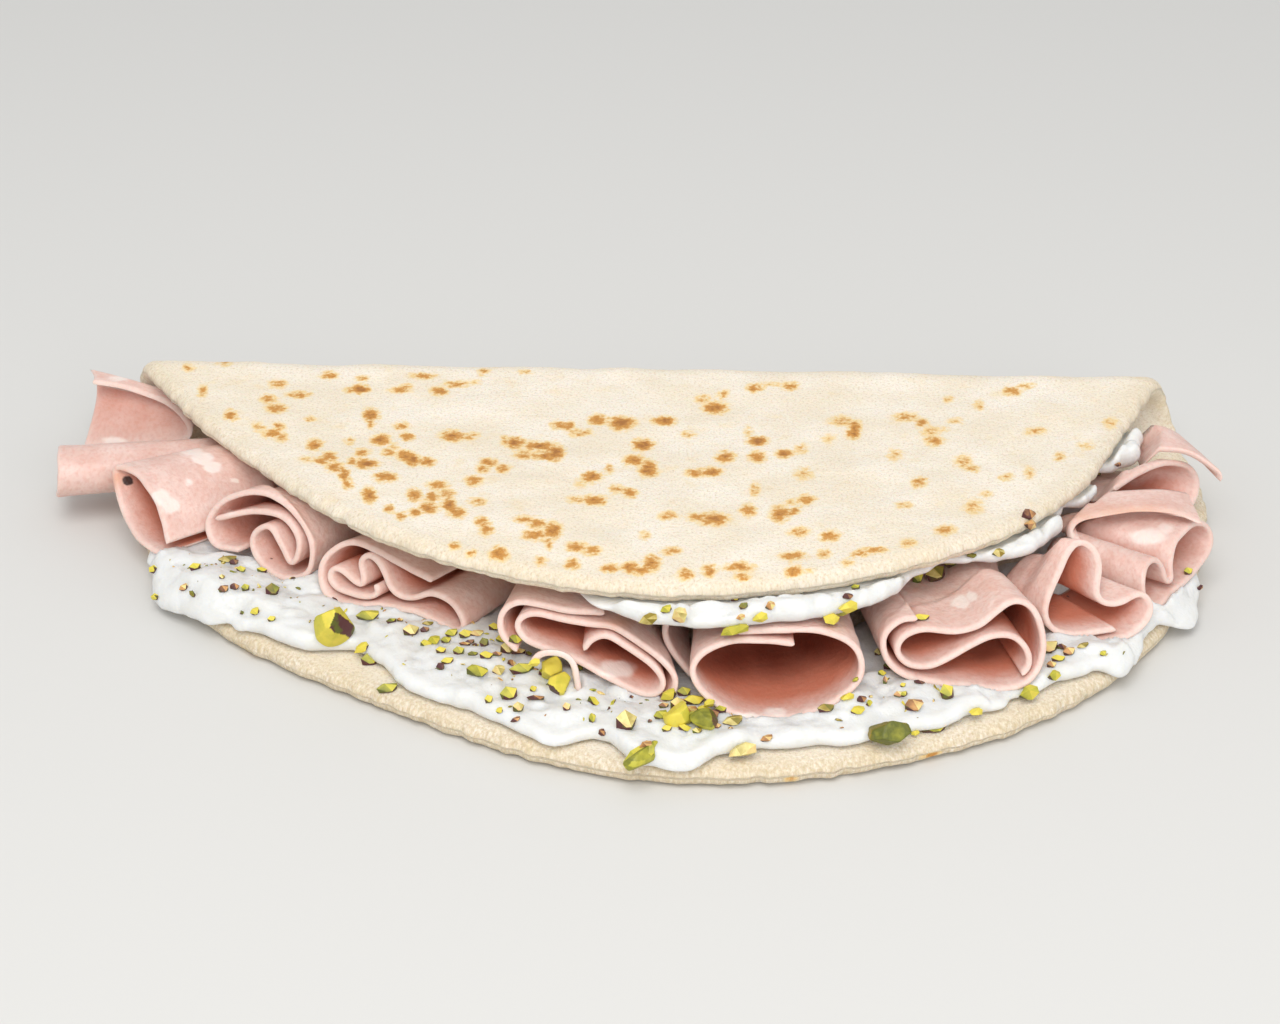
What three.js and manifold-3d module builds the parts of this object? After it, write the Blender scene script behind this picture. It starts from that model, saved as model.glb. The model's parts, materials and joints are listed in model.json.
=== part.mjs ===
// A folded piadina: one round flatbread, two layers of soft cheese cream, folded slices of
// mortadella and chopped pistachios. Millimetres, +Z up, the open side faces -Y.
import * as THREE from 'three';
import { mergeVertices } from 'three/addons/utils/BufferGeometryUtils.js';
import Module from 'manifold-3d';

const wasm = await Module();
wasm.setup();

// The bread is a round of dough, folded back on itself behind its middle.
const BREAD = {
  radius: 141,
  thickness: 5.5,
  rimRound: 3.6,
  centreX: 8,
  foldBehindMiddle: 19,
  foldY: 24.9,
  foldHeight: 27,
  flapRise: 8,
  flapReach: 125,
  flapSag: 0.35,
  turnDeg: -2,
};
// Where the round departs from a circle: size of the bulge or dent, its direction, its width.
const ROUND_FAULTS = [
  { size: 7.5, atDeg: 88, widthDeg: 24 },
  { size: -7.5, atDeg: 140, widthDeg: 20 },
  { size: 6, atDeg: 172, widthDeg: 10 },
  { size: -12, atDeg: 24, widthDeg: 22 },
  { size: 2.5, atDeg: -45, widthDeg: 20 },
  { size: -10.5, atDeg: -120, widthDeg: 23 },
];
const SHEET = 1.5;
const GAP = 0.35;
const SLICE_FLOOR = 7.4;
// The lower cream covers the lower half of the bread. Its lumpy edge stays this far inside
// the rim, by direction from the middle of the round; minus hangs over the rim.
const LOWER_EDGE = [
  [-180, 16], [-162, 10], [-155, -1.5], [-149, -5], [-144, -3.5], [-139, -0.5], [-131, 3], [-126, 9],
  [-121, 7], [-117, 2.2], [-110, 3.2], [-104, 2.4], [-100, 0.6], [-96, 6.3], [-91.5, 0.2],
  [-87.5, -1.2], [-82, 5.5], [-75, 4], [-66, 3.4], [-50, 4.6], [-45.5, 1], [-43, -3], [-39, -0.5],
  [-35, 1], [-30.5, -4.5], [-26, -2.5], [-20, 4], [-10, 14], [0, 18],
];
// The slices stand this far inside the rim, so the cream swells up only in front of them.
const SLICE_LINE = [
  [-180, 2], [-154, -5], [-148, 9], [-141, 19], [-135, 17], [-126, 22], [-117, 24], [-106, 17],
  [-91, 17], [-84, 13], [-71, 11], [-66, 15], [-61, 12], [-55, 7], [-50, 4], [-45, 6], [-38, -4],
  [-32, 1], [-20, -2], [0, -2],
];
// The upper cream lies between slices and flap and comes out past the flap's rim this far.
const UPPER_EDGE = [
  [100, -10], [95, 1], [91, 5], [84, 6.5], [77, 6.5], [73, 5], [69, 3], [66, -2], [62, -4], [59.5, -1],
  [57, 3], [52, 4.5], [48, 4], [45.5, -1], [43.5, -3], [41.5, 1.5], [39, 2], [37, -2], [34, -3],
  [32, 2], [28.5, 5.5], [25, 4], [23, -3],
];
const CREAM = {
  floor: 5.8,
  underSlices: 1.5,
  crest: 4.6,
  crestReach: 7,
  innerRadius: 4,
  lump: 0.8,
  lip: 5,
  upperThickness: 2.9,
  upperBackY: 15,
  upperBackWidth: 0.8,
};
const UPPER_FROM_X = [-24, -15];
// How steeply the slices may rise in front of the flap's rim.
const OPEN_RISE = 1.5;

const LOOKS = {
  bread: { color: 0xeadcc0, roughness: 0.85, metalness: 0 },
  mortadella: { color: 0xe2b6a8, roughness: 0.45, metalness: 0 },
  cream: { color: 0xf6f4ee, roughness: 0.4, metalness: 0 },
  pistachio: { color: 0xa9b148, roughness: 0.6, metalness: 0 },
};

const rad = THREE.MathUtils.degToRad;
const smooth = (x) => THREE.MathUtils.smoothstep(x, 0, 1);
const lerp = THREE.MathUtils.lerp;

// Numbers between 0 and 1 that come out the same on every run.
function seeded(seed) {
  let state = seed;
  return () => {
    state = (state * 1664525 + 1013904223) % 4294967296;
    return state / 4294967296;
  };
}

// Solids

function closedGeometry(vertices, triangles) {
  const geometry = new THREE.BufferGeometry();
  geometry.setAttribute('position', new THREE.BufferAttribute(Float32Array.from(vertices.flat()), 3));
  geometry.setIndex(triangles.flat());
  return geometry;
}

function toManifold(geometry) {
  const mesh = new wasm.Mesh({
    numProp: 3,
    vertProperties: geometry.getAttribute('position').array,
    triVerts: Uint32Array.from(geometry.index.array),
  });
  return new wasm.Manifold(mesh);
}

function fromManifold(manifold) {
  const mesh = manifold.getMesh();
  const geometry = new THREE.BufferGeometry();
  geometry.setAttribute('position', new THREE.BufferAttribute(Float32Array.from(mesh.vertProperties), 3));
  geometry.setIndex(new THREE.BufferAttribute(Uint32Array.from(mesh.triVerts), 1));
  return geometry;
}

function joined(geometry, others) {
  const whole = others.map(toManifold).reduce((sum, other) => sum.add(other), toManifold(geometry));
  return fromManifold(whole);
}

function cut(geometry, others) {
  const rest = others.map(toManifold).reduce((left, other) => left.subtract(other), toManifold(geometry));
  return fromManifold(rest);
}

// Two sheets of points over the same grid, upper and lower, joined round the border.
// Where both sheets share a point on the border, it becomes one vertex.
function slab(columns, rows, pointAt) {
  const vertices = [];
  const index = { up: [], down: [] };
  for (let j = 0; j < rows; j += 1) {
    for (let i = 0; i < columns; i += 1) {
      const border = i === 0 || j === 0 || i === columns - 1 || j === rows - 1;
      const upper = pointAt(i, j, 1);
      index.up.push(vertices.push(upper) - 1);
      index.down.push(border ? index.up.at(-1) : vertices.push(pointAt(i, j, -1)) - 1);
    }
  }
  const triangles = [];
  for (let j = 0; j + 1 < rows; j += 1) {
    for (let i = 0; i + 1 < columns; i += 1) {
      const a = j * columns + i;
      const b = a + 1;
      const c = a + columns + 1;
      const d = a + columns;
      const quads = (i + j) % 2 ? [[a, b, d], [b, c, d]] : [[a, b, c], [a, c, d]];
      for (const [p, q, r] of quads) {
        triangles.push([index.up[p], index.up[r], index.up[q]]);
        triangles.push([index.down[p], index.down[q], index.down[r]]);
      }
    }
  }
  return closedGeometry(vertices, triangles);
}

// The bread

const bendRadius = (BREAD.foldHeight - BREAD.thickness) / 2;
const bendReach = (Math.PI * bendRadius) / 2;
const bendZ = BREAD.thickness / 2 + bendRadius;

function rimRadius(angle) {
  let radius = BREAD.radius;
  for (const fault of ROUND_FAULTS) {
    let away = THREE.MathUtils.radToDeg(angle) - fault.atDeg;
    away = ((away + 540) % 360) - 180;
    radius += fault.size * Math.exp(-((away / fault.widthDeg) ** 2));
  }
  return radius;
}

function turned(x, y) {
  const c = Math.cos(rad(BREAD.turnDeg));
  const s = Math.sin(rad(BREAD.turnDeg));
  return [x * c - y * s, x * s + y * c];
}

function unturned(x, y) {
  const c = Math.cos(rad(BREAD.turnDeg));
  const s = Math.sin(rad(BREAD.turnDeg));
  return [x * c + y * s, y * c - x * s];
}

// Height that the flap gains on its way forward over the filling.
function flapRise(across, forward) {
  const side = 1 - BREAD.flapSag * (across / BREAD.radius) ** 2;
  return BREAD.flapRise * smooth(forward / BREAD.flapReach) * side;
}

// A point of the dough: across the fold, along the dough from the fold's middle (minus is
// the lower half), and its distance from the dough's mid surface, outwards.
function folded(across, along, out) {
  let y;
  let z;
  if (along < -bendReach) {
    y = BREAD.foldY + along + bendReach;
    z = BREAD.thickness / 2 - out;
  } else if (along < bendReach) {
    const angle = along / bendRadius;
    y = BREAD.foldY + (bendRadius + out) * Math.cos(angle);
    z = bendZ + (bendRadius + out) * Math.sin(angle);
  } else {
    const forward = along - bendReach;
    y = BREAD.foldY - forward;
    z = bendZ + bendRadius + flapRise(across, forward) + out;
  }
  return [...turned(BREAD.centreX + across, y), z];
}

// Underside of the flap over a place in plan.
function flapUnder(x, y) {
  const [px, py] = unturned(x, y);
  const forward = BREAD.foldY - py;
  const arch = forward < 0 ? bendRadius - Math.sqrt(Math.max(1, bendRadius ** 2 - forward ** 2)) : 0;
  return bendZ + bendRadius - BREAD.thickness / 2 - arch + flapRise(px - BREAD.centreX, Math.max(0, forward));
}

function grading(rim, inner) {
  return [...rim.map((v) => -v), ...inner, ...rim.toReversed()];
}

function bread() {
  const rim = [1, 0.993, 0.978, 0.94];
  const acrossSteps = grading(rim, [-0.84, -0.7, -0.54, -0.36, -0.18, 0, 0.18, 0.36, 0.54, 0.7, 0.84]);
  const alongSteps = grading(rim, [
    -0.82, -0.66, -0.48, -0.3, -0.14, 0, 0.045, 0.09, 0.135, 0.18, 0.225, 0.27, 0.36, 0.5, 0.66, 0.82,
  ]);
  return slab(acrossSteps.length, alongSteps.length, (i, j, side) => {
    const p = acrossSteps[i];
    const q = alongSteps[j];
    const u = p * Math.sqrt(1 - (q * q) / 2);
    const v = q * Math.sqrt(1 - (p * p) / 2);
    const radius = rimRadius(Math.atan2(v, u));
    const inside = THREE.MathUtils.clamp((radius * (1 - Math.hypot(u, v))) / BREAD.rimRound, 0, 1);
    const half = (BREAD.thickness / 2) * Math.sqrt(1 - (1 - inside) ** 2);
    return folded(radius * u, radius * v - BREAD.foldBehindMiddle, side * half);
  });
}

// The slices

// A slice of mortadella is a folded sheet. Its fold is drawn in the plane of its front
// mouth: to the right and up from the foot, seen from outside. The mouth faces faceDeg
// from -Y towards +X and leans back by leanDeg. The slice runs inwards along runDeg in
// plan, turning by turnDeg, and narrows and flattens to endScale, towards its foot or, where
// it hangs, towards its highest fold.
const SLICES = [
  { name: 'mortadella_01', foot: [-134.6, 17, 8.4], faceDeg: -10, leanDeg: 50, runDeg: 90, depth: 17,
    turnDeg: -15, endScale: [1.05, 0.3], hangs: true, steps: 15,
    fold: [[-14.5, 18.5], [-6.5, 18], [0, 16.5], [6.5, 14.5], [12, 11], [15, 6.5], [13, 2.6], [7, 1],
      [0, 0.2], [-7, 0], [-13, 0.4]] },
  { name: 'mortadella_02', foot: [-150, -4, 8], faceDeg: -80, leanDeg: 8, runDeg: 8, depth: 43,
    turnDeg: 0, endScale: [0.7, 0.95], steps: 15,
    fold: [[-14, 0.6], [-8, 0], [-1, 0.2], [3.6, 1.8], [5.4, 5], [4.2, 8.6], [1, 10.4], [-3.5, 10.8],
      [-7, 9.6]] },
  { name: 'mortadella_03', foot: [-118.6, -33.9, 8.4], faceDeg: -45, leanDeg: 25, runDeg: 31, depth: 35,
    turnDeg: 0, endScale: [0.8, 1], steps: 17,
    fold: [[0, 0], [-4, -0.2], [-9.5, 0.2], [-15.5, 2.5], [-20, 5.5], [-23.5, 9.5], [-25.5, 13],
      [-21, 14.5], [-15.5, 14.5], [-10.5, 13], [-6, 10.5], [-1.5, 7], [1.5, 3.5]] },
  { name: 'mortadella_04', foot: [-83.2, -46.8, 8.5], faceDeg: -30, leanDeg: 25, runDeg: 44, depth: 24,
    turnDeg: 0, endScale: [0.75, 1], steps: 34, back: [2, 44],
    fold: [[-27.2, 8.6], [-17.5, 13], [-7, 14], [-1.5, 9], [-2.7, 3.7], [-7, 7.5], [-11.5, 11],
      [-15.5, 7.5], [-12.5, 2.2], [-4, 0], [2, 3], [1.7, 10], [-5, 16.5], [-15, 18.5], [-26, 13.5],
      [-29.5, 7], [-26, 2.2], [-18.5, 3]] },
  { name: 'mortadella_05', foot: [-42.8, -68.8, 8.5], faceDeg: -22, leanDeg: 35, runDeg: 50, depth: 24,
    turnDeg: 0, endScale: [0.92, 1], steps: 46, back: [0, 60],
    fold: [[-23.5, 7], [-22.3, 5], [-25, 3.4], [-30, 3.5], [-34, 4.2], [-36, 6.3], [-35.3, 8.5],
      [-32.5, 8.2], [-29.5, 6.7], [-26.8, 5.8], [-27.4, 8.8], [-28.8, 11.6], [-27, 13.4], [-24.2, 12.3],
      [-22, 9.8], [-19.8, 7.2], [-16.5, 5.6], [-13, 5.8], [-9, 7.8], [-5, 7.2], [-1.2, 5], [1, 1.8],
      [-1, 0.2], [-6, 1.4], [-12, 2.7], [-19, 2.4], [-28, 1], [-34, 1.2], [-38, 4.8], [-38.6, 8.8],
      [-36.5, 12.6], [-31.5, 15.6], [-24, 14.4], [-16.5, 12.4], [-9.5, 10.6]] },
  { name: 'mortadella_06', foot: [2.7, -97.5, 8.5], faceDeg: -15, leanDeg: 35, runDeg: 86, depth: 26,
    turnDeg: 0, endScale: [0.72, 1], steps: 40, back: [0, 76],
    fold: [[-17.5, 9.8], [-16, 12.5], [-13, 14], [-7, 11.8], [-1, 8.6], [2, 5.2], [1, 2.8], [-3, 2.2],
      [-10, 4.2], [-19, 7.4], [-27, 9], [-32, 10.6], [-34.2, 13.6], [-31.5, 16.4], [-25, 16.2],
      [-18, 16], [-12, 16.1], [-6, 13.8], [1, 10], [4.6, 6.4], [4.2, 3], [2, 0.4]] },
  { name: 'mortadella_07', foot: [2.7, -97.5, 8.5], faceDeg: -15, leanDeg: 35, runDeg: 80, depth: 26,
    turnDeg: 0, endScale: [0.8, 1], steps: 13, back: [0, 76],
    fold: [[-33, 7.5], [-37.5, 11], [-38, 15.2], [-35, 18.3], [-29, 18.6], [-22, 18.2], [-14, 19]] },
  { name: 'mortadella_08', foot: [12.1, -89.8, 11], faceDeg: -5, leanDeg: 30, runDeg: 90, depth: 22,
    turnDeg: 0, endScale: [0.6, 1], steps: 12,
    fold: [[-0.5, 12.4], [-3.5, 13.6], [-6.2, 12.6], [-7, 9.4], [-5.2, 5.6], [-2.6, 2.6], [0, 0]] },
  { name: 'mortadella_09', foot: [29.1, -102.9, 8.5], faceDeg: 3, leanDeg: 33, runDeg: 91, depth: 40,
    turnDeg: 0, endScale: [0.86, 0.9], steps: 26, back: [0, 68],
    fold: [[6, 16.8], [-1.5, 17.5], [-7.5, 17.8], [-15, 15], [-17.2, 11.5], [-15, 6.5], [-8, 1.5],
      [0, 0], [8, 0.8], [16, 4.4], [21, 10], [19.5, 15.6], [13.5, 19], [3, 20], [-7, 20]] },
  { name: 'mortadella_10', foot: [80.7, -91.3, 8.5], faceDeg: 3, leanDeg: 35, runDeg: 101, depth: 32,
    turnDeg: 0, endScale: [0.92, 0.9], steps: 40, back: [2, 62],
    fold: [[-17, 16.5], [-21, 16.3], [-24.5, 13], [-24.5, 8], [-20, 3.5], [-13, 1.8], [-6, 1], [1, 0],
      [7, 0.8], [11, 6], [11.5, 13], [9, 18.6], [5, 20], [1, 17.6], [-3, 14.6], [-8, 13.3], [-16, 14],
      [-20.8, 12.2], [-22, 9], [-19.5, 6], [-14.5, 5.6], [-9, 7.8], [-4, 10.6], [0.5, 12.2], [5, 11.6],
      [8, 8.5], [8, 4.8], [6.4, 3]] },
  { name: 'mortadella_11', foot: [98.7, -72.1, 9], faceDeg: 5, leanDeg: 34, runDeg: 124, depth: 22,
    turnDeg: 0, endScale: [0.74, 0.92], steps: 30,
    fold: [[13, 1.8], [8, 1.4], [3, 1], [-1.5, 2.2], [-3.3, 5.5], [-2.8, 9], [-1, 13], [1, 17],
      [2.8, 20.4], [5.4, 22.6], [8.2, 21.8], [9.8, 19], [10, 15.6], [9.4, 12.4], [9.2, 9.8], [11, 8],
      [14.5, 8], [18, 9.4], [20.5, 9.6], [21.8, 7.4], [21.2, 4.2], [18.5, 1.2], [14, -0.4], [9, -1]] },
  { name: 'mortadella_12', foot: [124.2, -57.7, 8.5], faceDeg: 50, leanDeg: 20, runDeg: 150, depth: 30,
    turnDeg: 0, endScale: [0.7, 1], steps: 26,
    fold: [[-4.5, 3.5], [-4, 8], [-1, 11.3], [3.2, 11], [5.2, 7.5], [5.6, 4.2], [7.8, 3.6], [8.6, 7.5],
      [11.5, 11.3], [17, 12.2], [22.5, 12], [27, 9.5], [28, 6], [24.5, 2.8], [17, 1.4], [8, 0.8],
      [0, 0]] },
  { name: 'mortadella_13', foot: [109.3, -47, 21.5], faceDeg: 10, leanDeg: 60, runDeg: 95, depth: 15,
    turnDeg: 0, endScale: [1, 1], steps: 12,
    fold: [[27, 1.5], [20.5, 5], [10.5, 6.5], [1.5, 6], [-4, 4.5], [-6, 1.5], [-4, -0.5]] },
  { name: 'mortadella_14', foot: [139.4, -14.7, 9], faceDeg: 38, leanDeg: 25, runDeg: 150, depth: 30,
    turnDeg: 0, endScale: [0.75, 0.8], steps: 18,
    fold: [[-23, 13.6], [-17, 14.6], [-9, 15], [-2, 13.8], [3.5, 11], [5.5, 7.2], [4, 3.4], [0, 1],
      [-5, 0.2], [-10, 0]] },
  { name: 'mortadella_15', foot: [137, -12.5, 24.7], faceDeg: -18, leanDeg: 10, runDeg: 108, depth: 15,
    turnDeg: 0, endScale: [0.5, 0.3], steps: 12,
    fold: [[-10.5, -0.4], [-5, 0.3], [0, 0.4], [4, -0.8], [7, -2.6], [9.4, -4.2], [9.2, -5.8]] },
  { name: 'mortadella_16', foot: [-13.6, -94.7, 9], faceDeg: -5, leanDeg: 15, runDeg: 90, depth: 5,
    turnDeg: 0, endScale: [0.9, 0.9], steps: 10,
    fold: [[-11, 7], [-10, 9], [-8, 10], [-4.5, 10], [-2, 8.6], [-1, 6.2], [-0.6, 3.4], [0, 0.2]] },
];
// Sections of a slice by share of its depth; past 1 it runs on straight to the back.
const DEPTH_STEPS = [0, 0.06, 0.42, 1];
const BACK_STEPS = [1.5, 2];

// Points along a fold, closer together where it bends more.
const BEND_WEIGHT = 3;

function foldLine(points, steps) {
  const drawn = points.map(([a, b]) => new THREE.Vector3(a, b, 0));
  const curve = new THREE.CatmullRomCurve3(drawn, false, 'centripetal');
  const fine = curve.getPoints(points.length * 16);
  const weight = [0];
  for (let i = 1; i < fine.length; i += 1) {
    const step = fine[i].clone().sub(fine[i - 1]);
    const next = fine[Math.min(i + 1, fine.length - 1)].clone().sub(fine[i]);
    const bend = next.length() > 0 ? step.angleTo(next) : 0;
    weight.push(weight.at(-1) + step.length() + BEND_WEIGHT * bend);
  }
  const line = [];
  for (let k = 0, i = 0; k < steps; k += 1) {
    const target = (weight.at(-1) * k) / (steps - 1);
    while (i < fine.length - 1 && weight[i] < target) i += 1;
    line.push(fine[i]);
  }
  return line;
}

// The two faces of the sheet, half its thickness to each side of the fold line.
function sheetOutline(line, thickness) {
  const half = thickness / 2;
  const left = [];
  const right = [];
  line.forEach((point, i) => {
    const before = line[Math.max(0, i - 1)];
    const after = line[Math.min(line.length - 1, i + 1)];
    const along = after.clone().sub(before).normalize();
    left.push([point.x - along.y * half, point.y + along.x * half]);
    right.push([point.x + along.y * half, point.y - along.x * half]);
  });
  return [...left, ...right.toReversed()];
}

// Slices that stand close together are pressed as one pile under the flap.
const PILE_REACH = 21;

function pileTop({ foot }) {
  const apart = (other) => Math.hypot(other.foot[0] - foot[0], other.foot[1] - foot[1]);
  const near = SLICES.filter((other) => apart(other) < PILE_REACH);
  const tops = near.map((other) => {
    const highest = Math.max(...other.fold.map(([, b]) => b)) + SHEET / 2;
    return other.foot[2] + Math.cos(rad(other.leanDeg)) * highest;
  });
  return Math.max(...tops);
}

function pressed(x, y, z, top) {
  const room = Math.min(1, (ceiling(x, y) - SLICE_FLOOR) / (top - SLICE_FLOOR));
  return SLICE_FLOOR + (z - SLICE_FLOOR) * room;
}

function placedSection(slice, line, thickness, step) {
  const t = Math.min(step, 1);
  const [backX, backY] = (slice.back ?? [0, 0]).map((reach) => reach * (step - t));
  const face = rad(slice.faceDeg + slice.turnDeg * t);
  const lean = Math.sin(rad(slice.leanDeg)) * (1 - t);
  const rise = Math.cos(rad(slice.leanDeg));
  const run = rad(slice.runDeg);
  const wide = lerp(1, slice.endScale[0], t);
  const tall = lerp(1, slice.endScale[1], t);
  const [footX, footY, footZ] = slice.foot;
  const reach = slice.fold.map(([a]) => a);
  const middle = (Math.max(...reach) + Math.min(...reach)) / 2;
  const top = pileTop(slice);
  const level = slice.hangs ? Math.max(...slice.fold.map(([, b]) => b)) : 0;
  const shrunk = line.map(
    ({ x, y }) => new THREE.Vector3(middle + (x - middle) * wide, level + (y - level) * tall, 0),
  );
  const [inX, inY] = [slice.depth * t * Math.cos(run), slice.depth * t * Math.sin(run)];
  return sheetOutline(shrunk, thickness).map(([a, b]) => {
    const x = footX + backX + inX + Math.cos(face) * a - Math.sin(face) * lean * b;
    const y = footY + backY + inY + Math.sin(face) * a + Math.cos(face) * lean * b;
    return [x, y, pressed(x, y, footZ + rise * b, top)];
  });
}

function lofted(sections) {
  const n = sections[0].length;
  const triangles = [];
  for (let k = 0; k + 1 < sections.length; k += 1) {
    for (let i = 0; i < n; i += 1) {
      const a = k * n + i;
      const b = k * n + ((i + 1) % n);
      triangles.push([a, b, b + n]);
      triangles.push([a, b + n, a + n]);
    }
  }
  const last = (sections.length - 1) * n;
  for (let i = 0; i + 1 < n / 2; i += 1) {
    const across = n - 1 - i;
    triangles.push([i, across, i + 1]);
    triangles.push([i + 1, across, across - 1]);
    triangles.push([last + i, last + i + 1, last + across]);
    triangles.push([last + i + 1, last + across - 1, last + across]);
  }
  return closedGeometry(sections.flat(), triangles);
}

// Value at an angle from a list of angle and value, eased from one entry to the next.
function valueAt(list, angle) {
  const sorted = list.toSorted((p, q) => p[0] - q[0]);
  const next = sorted.findIndex(([at]) => at >= angle);
  if (next < 1) return (next === 0 ? sorted[0] : sorted.at(-1))[1];
  const [from, to] = [sorted[next - 1], sorted[next]];
  return lerp(from[1], to[1], smooth((angle - from[0]) / (to[0] - from[0])));
}

// How far a place in plan lies beyond the rim of the flap; less than nothing is under it.
function beyondFlap(x, y) {
  const [px, py] = unturned(x, y);
  const across = px - BREAD.centreX;
  const forward = BREAD.foldY - py + bendReach + BREAD.foldBehindMiddle;
  const angle = Math.atan2(forward, across);
  const lip = Math.max(0, valueAt(UPPER_EDGE, THREE.MathUtils.radToDeg(angle)));
  return { flap: Math.hypot(across, forward) - rimRadius(angle), lip };
}

// The height that is free over a place for the slices.
function ceiling(x, y) {
  const { flap, lip } = beyondFlap(x, y);
  const creamed = smooth((x - UPPER_FROM_X[0]) / (UPPER_FROM_X[1] - UPPER_FROM_X[0]));
  const outside = Math.max(0, flap - lip * creamed);
  return flapUnder(x, y) - GAP - (CREAM.upperThickness + GAP) * creamed + OPEN_RISE * outside;
}

function sliceOf(slice, thickness = SHEET) {
  const line = foldLine(slice.fold, slice.steps);
  const steps = slice.back ? [...DEPTH_STEPS, ...BACK_STEPS] : DEPTH_STEPS;
  return lofted(steps.map((step) => placedSection(slice, line, thickness, step)));
}

// The cream

// Place in plan from a direction and a distance from the middle of the round.
function lowerPlace(angleDeg, radius) {
  const x = BREAD.centreX + radius * Math.cos(rad(angleDeg));
  const y = BREAD.foldY + bendReach - BREAD.foldBehindMiddle + radius * Math.sin(rad(angleDeg));
  return turned(x, y);
}

function upperPlace(angleDeg, radius) {
  const x = BREAD.centreX + radius * Math.cos(rad(angleDeg));
  const y = BREAD.foldY + bendReach + BREAD.foldBehindMiddle - radius * Math.sin(rad(angleDeg));
  return turned(x, y);
}

function roundedLip(distance) {
  const part = Math.min(1, distance / CREAM.lip);
  return Math.sqrt(1 - (1 - part) ** 2);
}

function lumps(x, y) {
  return CREAM.lump * (Math.sin(x / 4.3 + 1.2) * Math.sin(y / 5.1) + 0.6 * Math.sin(x / 2.6 - y / 3.7));
}

function lowerCreamTop(angleDeg, radius, edge) {
  const [x, y] = lowerPlace(angleDeg, radius);
  const rim = rimRadius(rad(angleDeg));
  const inFront = valueAt(SLICE_LINE, angleDeg) - (rim - radius);
  const swell = smooth(inFront / CREAM.crestReach) * (CREAM.crest - CREAM.underSlices + lumps(x, y));
  return CREAM.floor + roundedLip(edge - radius) * (CREAM.underSlices + swell);
}

const LOWER_ANGLES = [];
for (let angle = -4; angle > -177; angle -= Math.abs(angle + 90) > 66 ? 6 : 4) LOWER_ANGLES.push(angle);
const LOWER_ROWS = [0, 0.5, 1.8, 4, 8, 13, 20, 45];

function lowerCream() {
  const rows = LOWER_ROWS.length + 1;
  return slab(LOWER_ANGLES.length, rows, (i, j, side) => {
    const angle = LOWER_ANGLES[i];
    const edge = rimRadius(rad(angle)) - valueAt(LOWER_EDGE, angle);
    const radius = j < LOWER_ROWS.length ? edge - LOWER_ROWS[j] : CREAM.innerRadius;
    const border = i === 0 || i === LOWER_ANGLES.length - 1 || j === 0 || j === rows - 1;
    const z = side > 0 && !border ? lowerCreamTop(angle, radius, edge) : CREAM.floor;
    return [...lowerPlace(angle, radius), z];
  });
}

const UPPER_ANGLES = [];
for (let angle = 24; angle <= 100; angle += 4) UPPER_ANGLES.push(angle);
const UPPER_ROWS = [0, 0.6, 2.2, 5, 10];

function upperCream() {
  const rows = UPPER_ROWS.length + 3;
  return slab(UPPER_ANGLES.length, rows, (i, j, side) => {
    const angle = UPPER_ANGLES[i];
    const edge = rimRadius(rad(angle)) + valueAt(UPPER_EDGE, angle);
    const border = i === 0 || i === UPPER_ANGLES.length - 1 || j === 0 || j === rows - 1;
    const inset = UPPER_ROWS[Math.min(j, UPPER_ROWS.length - 1)];
    const back = Math.max(0, j + 1 - UPPER_ROWS.length) / (rows - UPPER_ROWS.length);
    const [frontX, frontY] = upperPlace(angle, edge - inset);
    const x = lerp(frontX, BREAD.centreX + CREAM.upperBackWidth * (frontX - BREAD.centreX), back);
    const y = lerp(frontY, CREAM.upperBackY, back);
    const half = border ? 0 : (CREAM.upperThickness / 2) * roundedLip(inset);
    return [x, y, flapUnder(x, y) - GAP - CREAM.upperThickness / 2 + side * half];
  });
}

// The pistachios

// Chopped kernels as large as berries: middle, size across, size in height, turn.
const KERNELS = [
  { at: [-71.4, -71.8, 13.1], size: [8.5, 7.9, 10.6], turnDeg: 65 },
  { at: [55.1, -108.6, 9.5], size: [9.5, 6.5, 6], turnDeg: 10 },
  { at: [8.2, -105, 11.8], size: [6.5, 6.5, 5.5], turnDeg: 10 },
  { at: [14.6, -107, 11.6], size: [5.5, 6.5, 5], turnDeg: 130 },
  { at: [-20.6, -88, 12], size: [5.5, 6, 5], turnDeg: 45 },
  { at: [-18.2, -94, 11.6], size: [6, 5.5, 5], turnDeg: 100 },
  { at: [0.4, -116.6, 8.9], size: [10, 4.5, 4.5], turnDeg: 40 },
  { at: [45.3, -83.5, 26.2], size: [9, 5, 4.5], turnDeg: 20 },
];

// An uneven nugget: a faceted ball stretched to size, its corners moved in and out.
function nugget({ at, size, turnDeg, detail, roughness, draw }) {
  const shape = new THREE.IcosahedronGeometry(0.5, detail);
  shape.deleteAttribute('normal');
  shape.deleteAttribute('uv');
  const geometry = mergeVertices(shape);
  const position = geometry.getAttribute('position');
  const tilt = new THREE.Euler(0.5 * draw() - 0.25, 0.5 * draw() - 0.25, rad(turnDeg));
  const pose = new THREE.Matrix4().compose(
    new THREE.Vector3(...at),
    new THREE.Quaternion().setFromEuler(tilt),
    new THREE.Vector3(...size),
  );
  const point = new THREE.Vector3();
  for (let i = 0; i < position.count; i += 1) {
    point.fromBufferAttribute(position, i).multiplyScalar(1 + roughness * (draw() - 0.5)).applyMatrix4(pose);
    position.setXYZ(i, point.x, point.y, point.z);
  }
  return geometry;
}

function kernel({ at, size, turnDeg }, grow = 0) {
  return nugget({
    at,
    size: size.map((s) => s + 2 * grow),
    turnDeg,
    detail: 1,
    roughness: 0.22,
    draw: seeded(Math.round(at[0] * 10) + 5000),
  });
}

// Small bits of pistachio, pressed into the swell of the lower cream.
const CHIPS = { count: 34, least: 2.6, most: 5, fromDeg: -150, toDeg: -34, seed: 7 };

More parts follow.
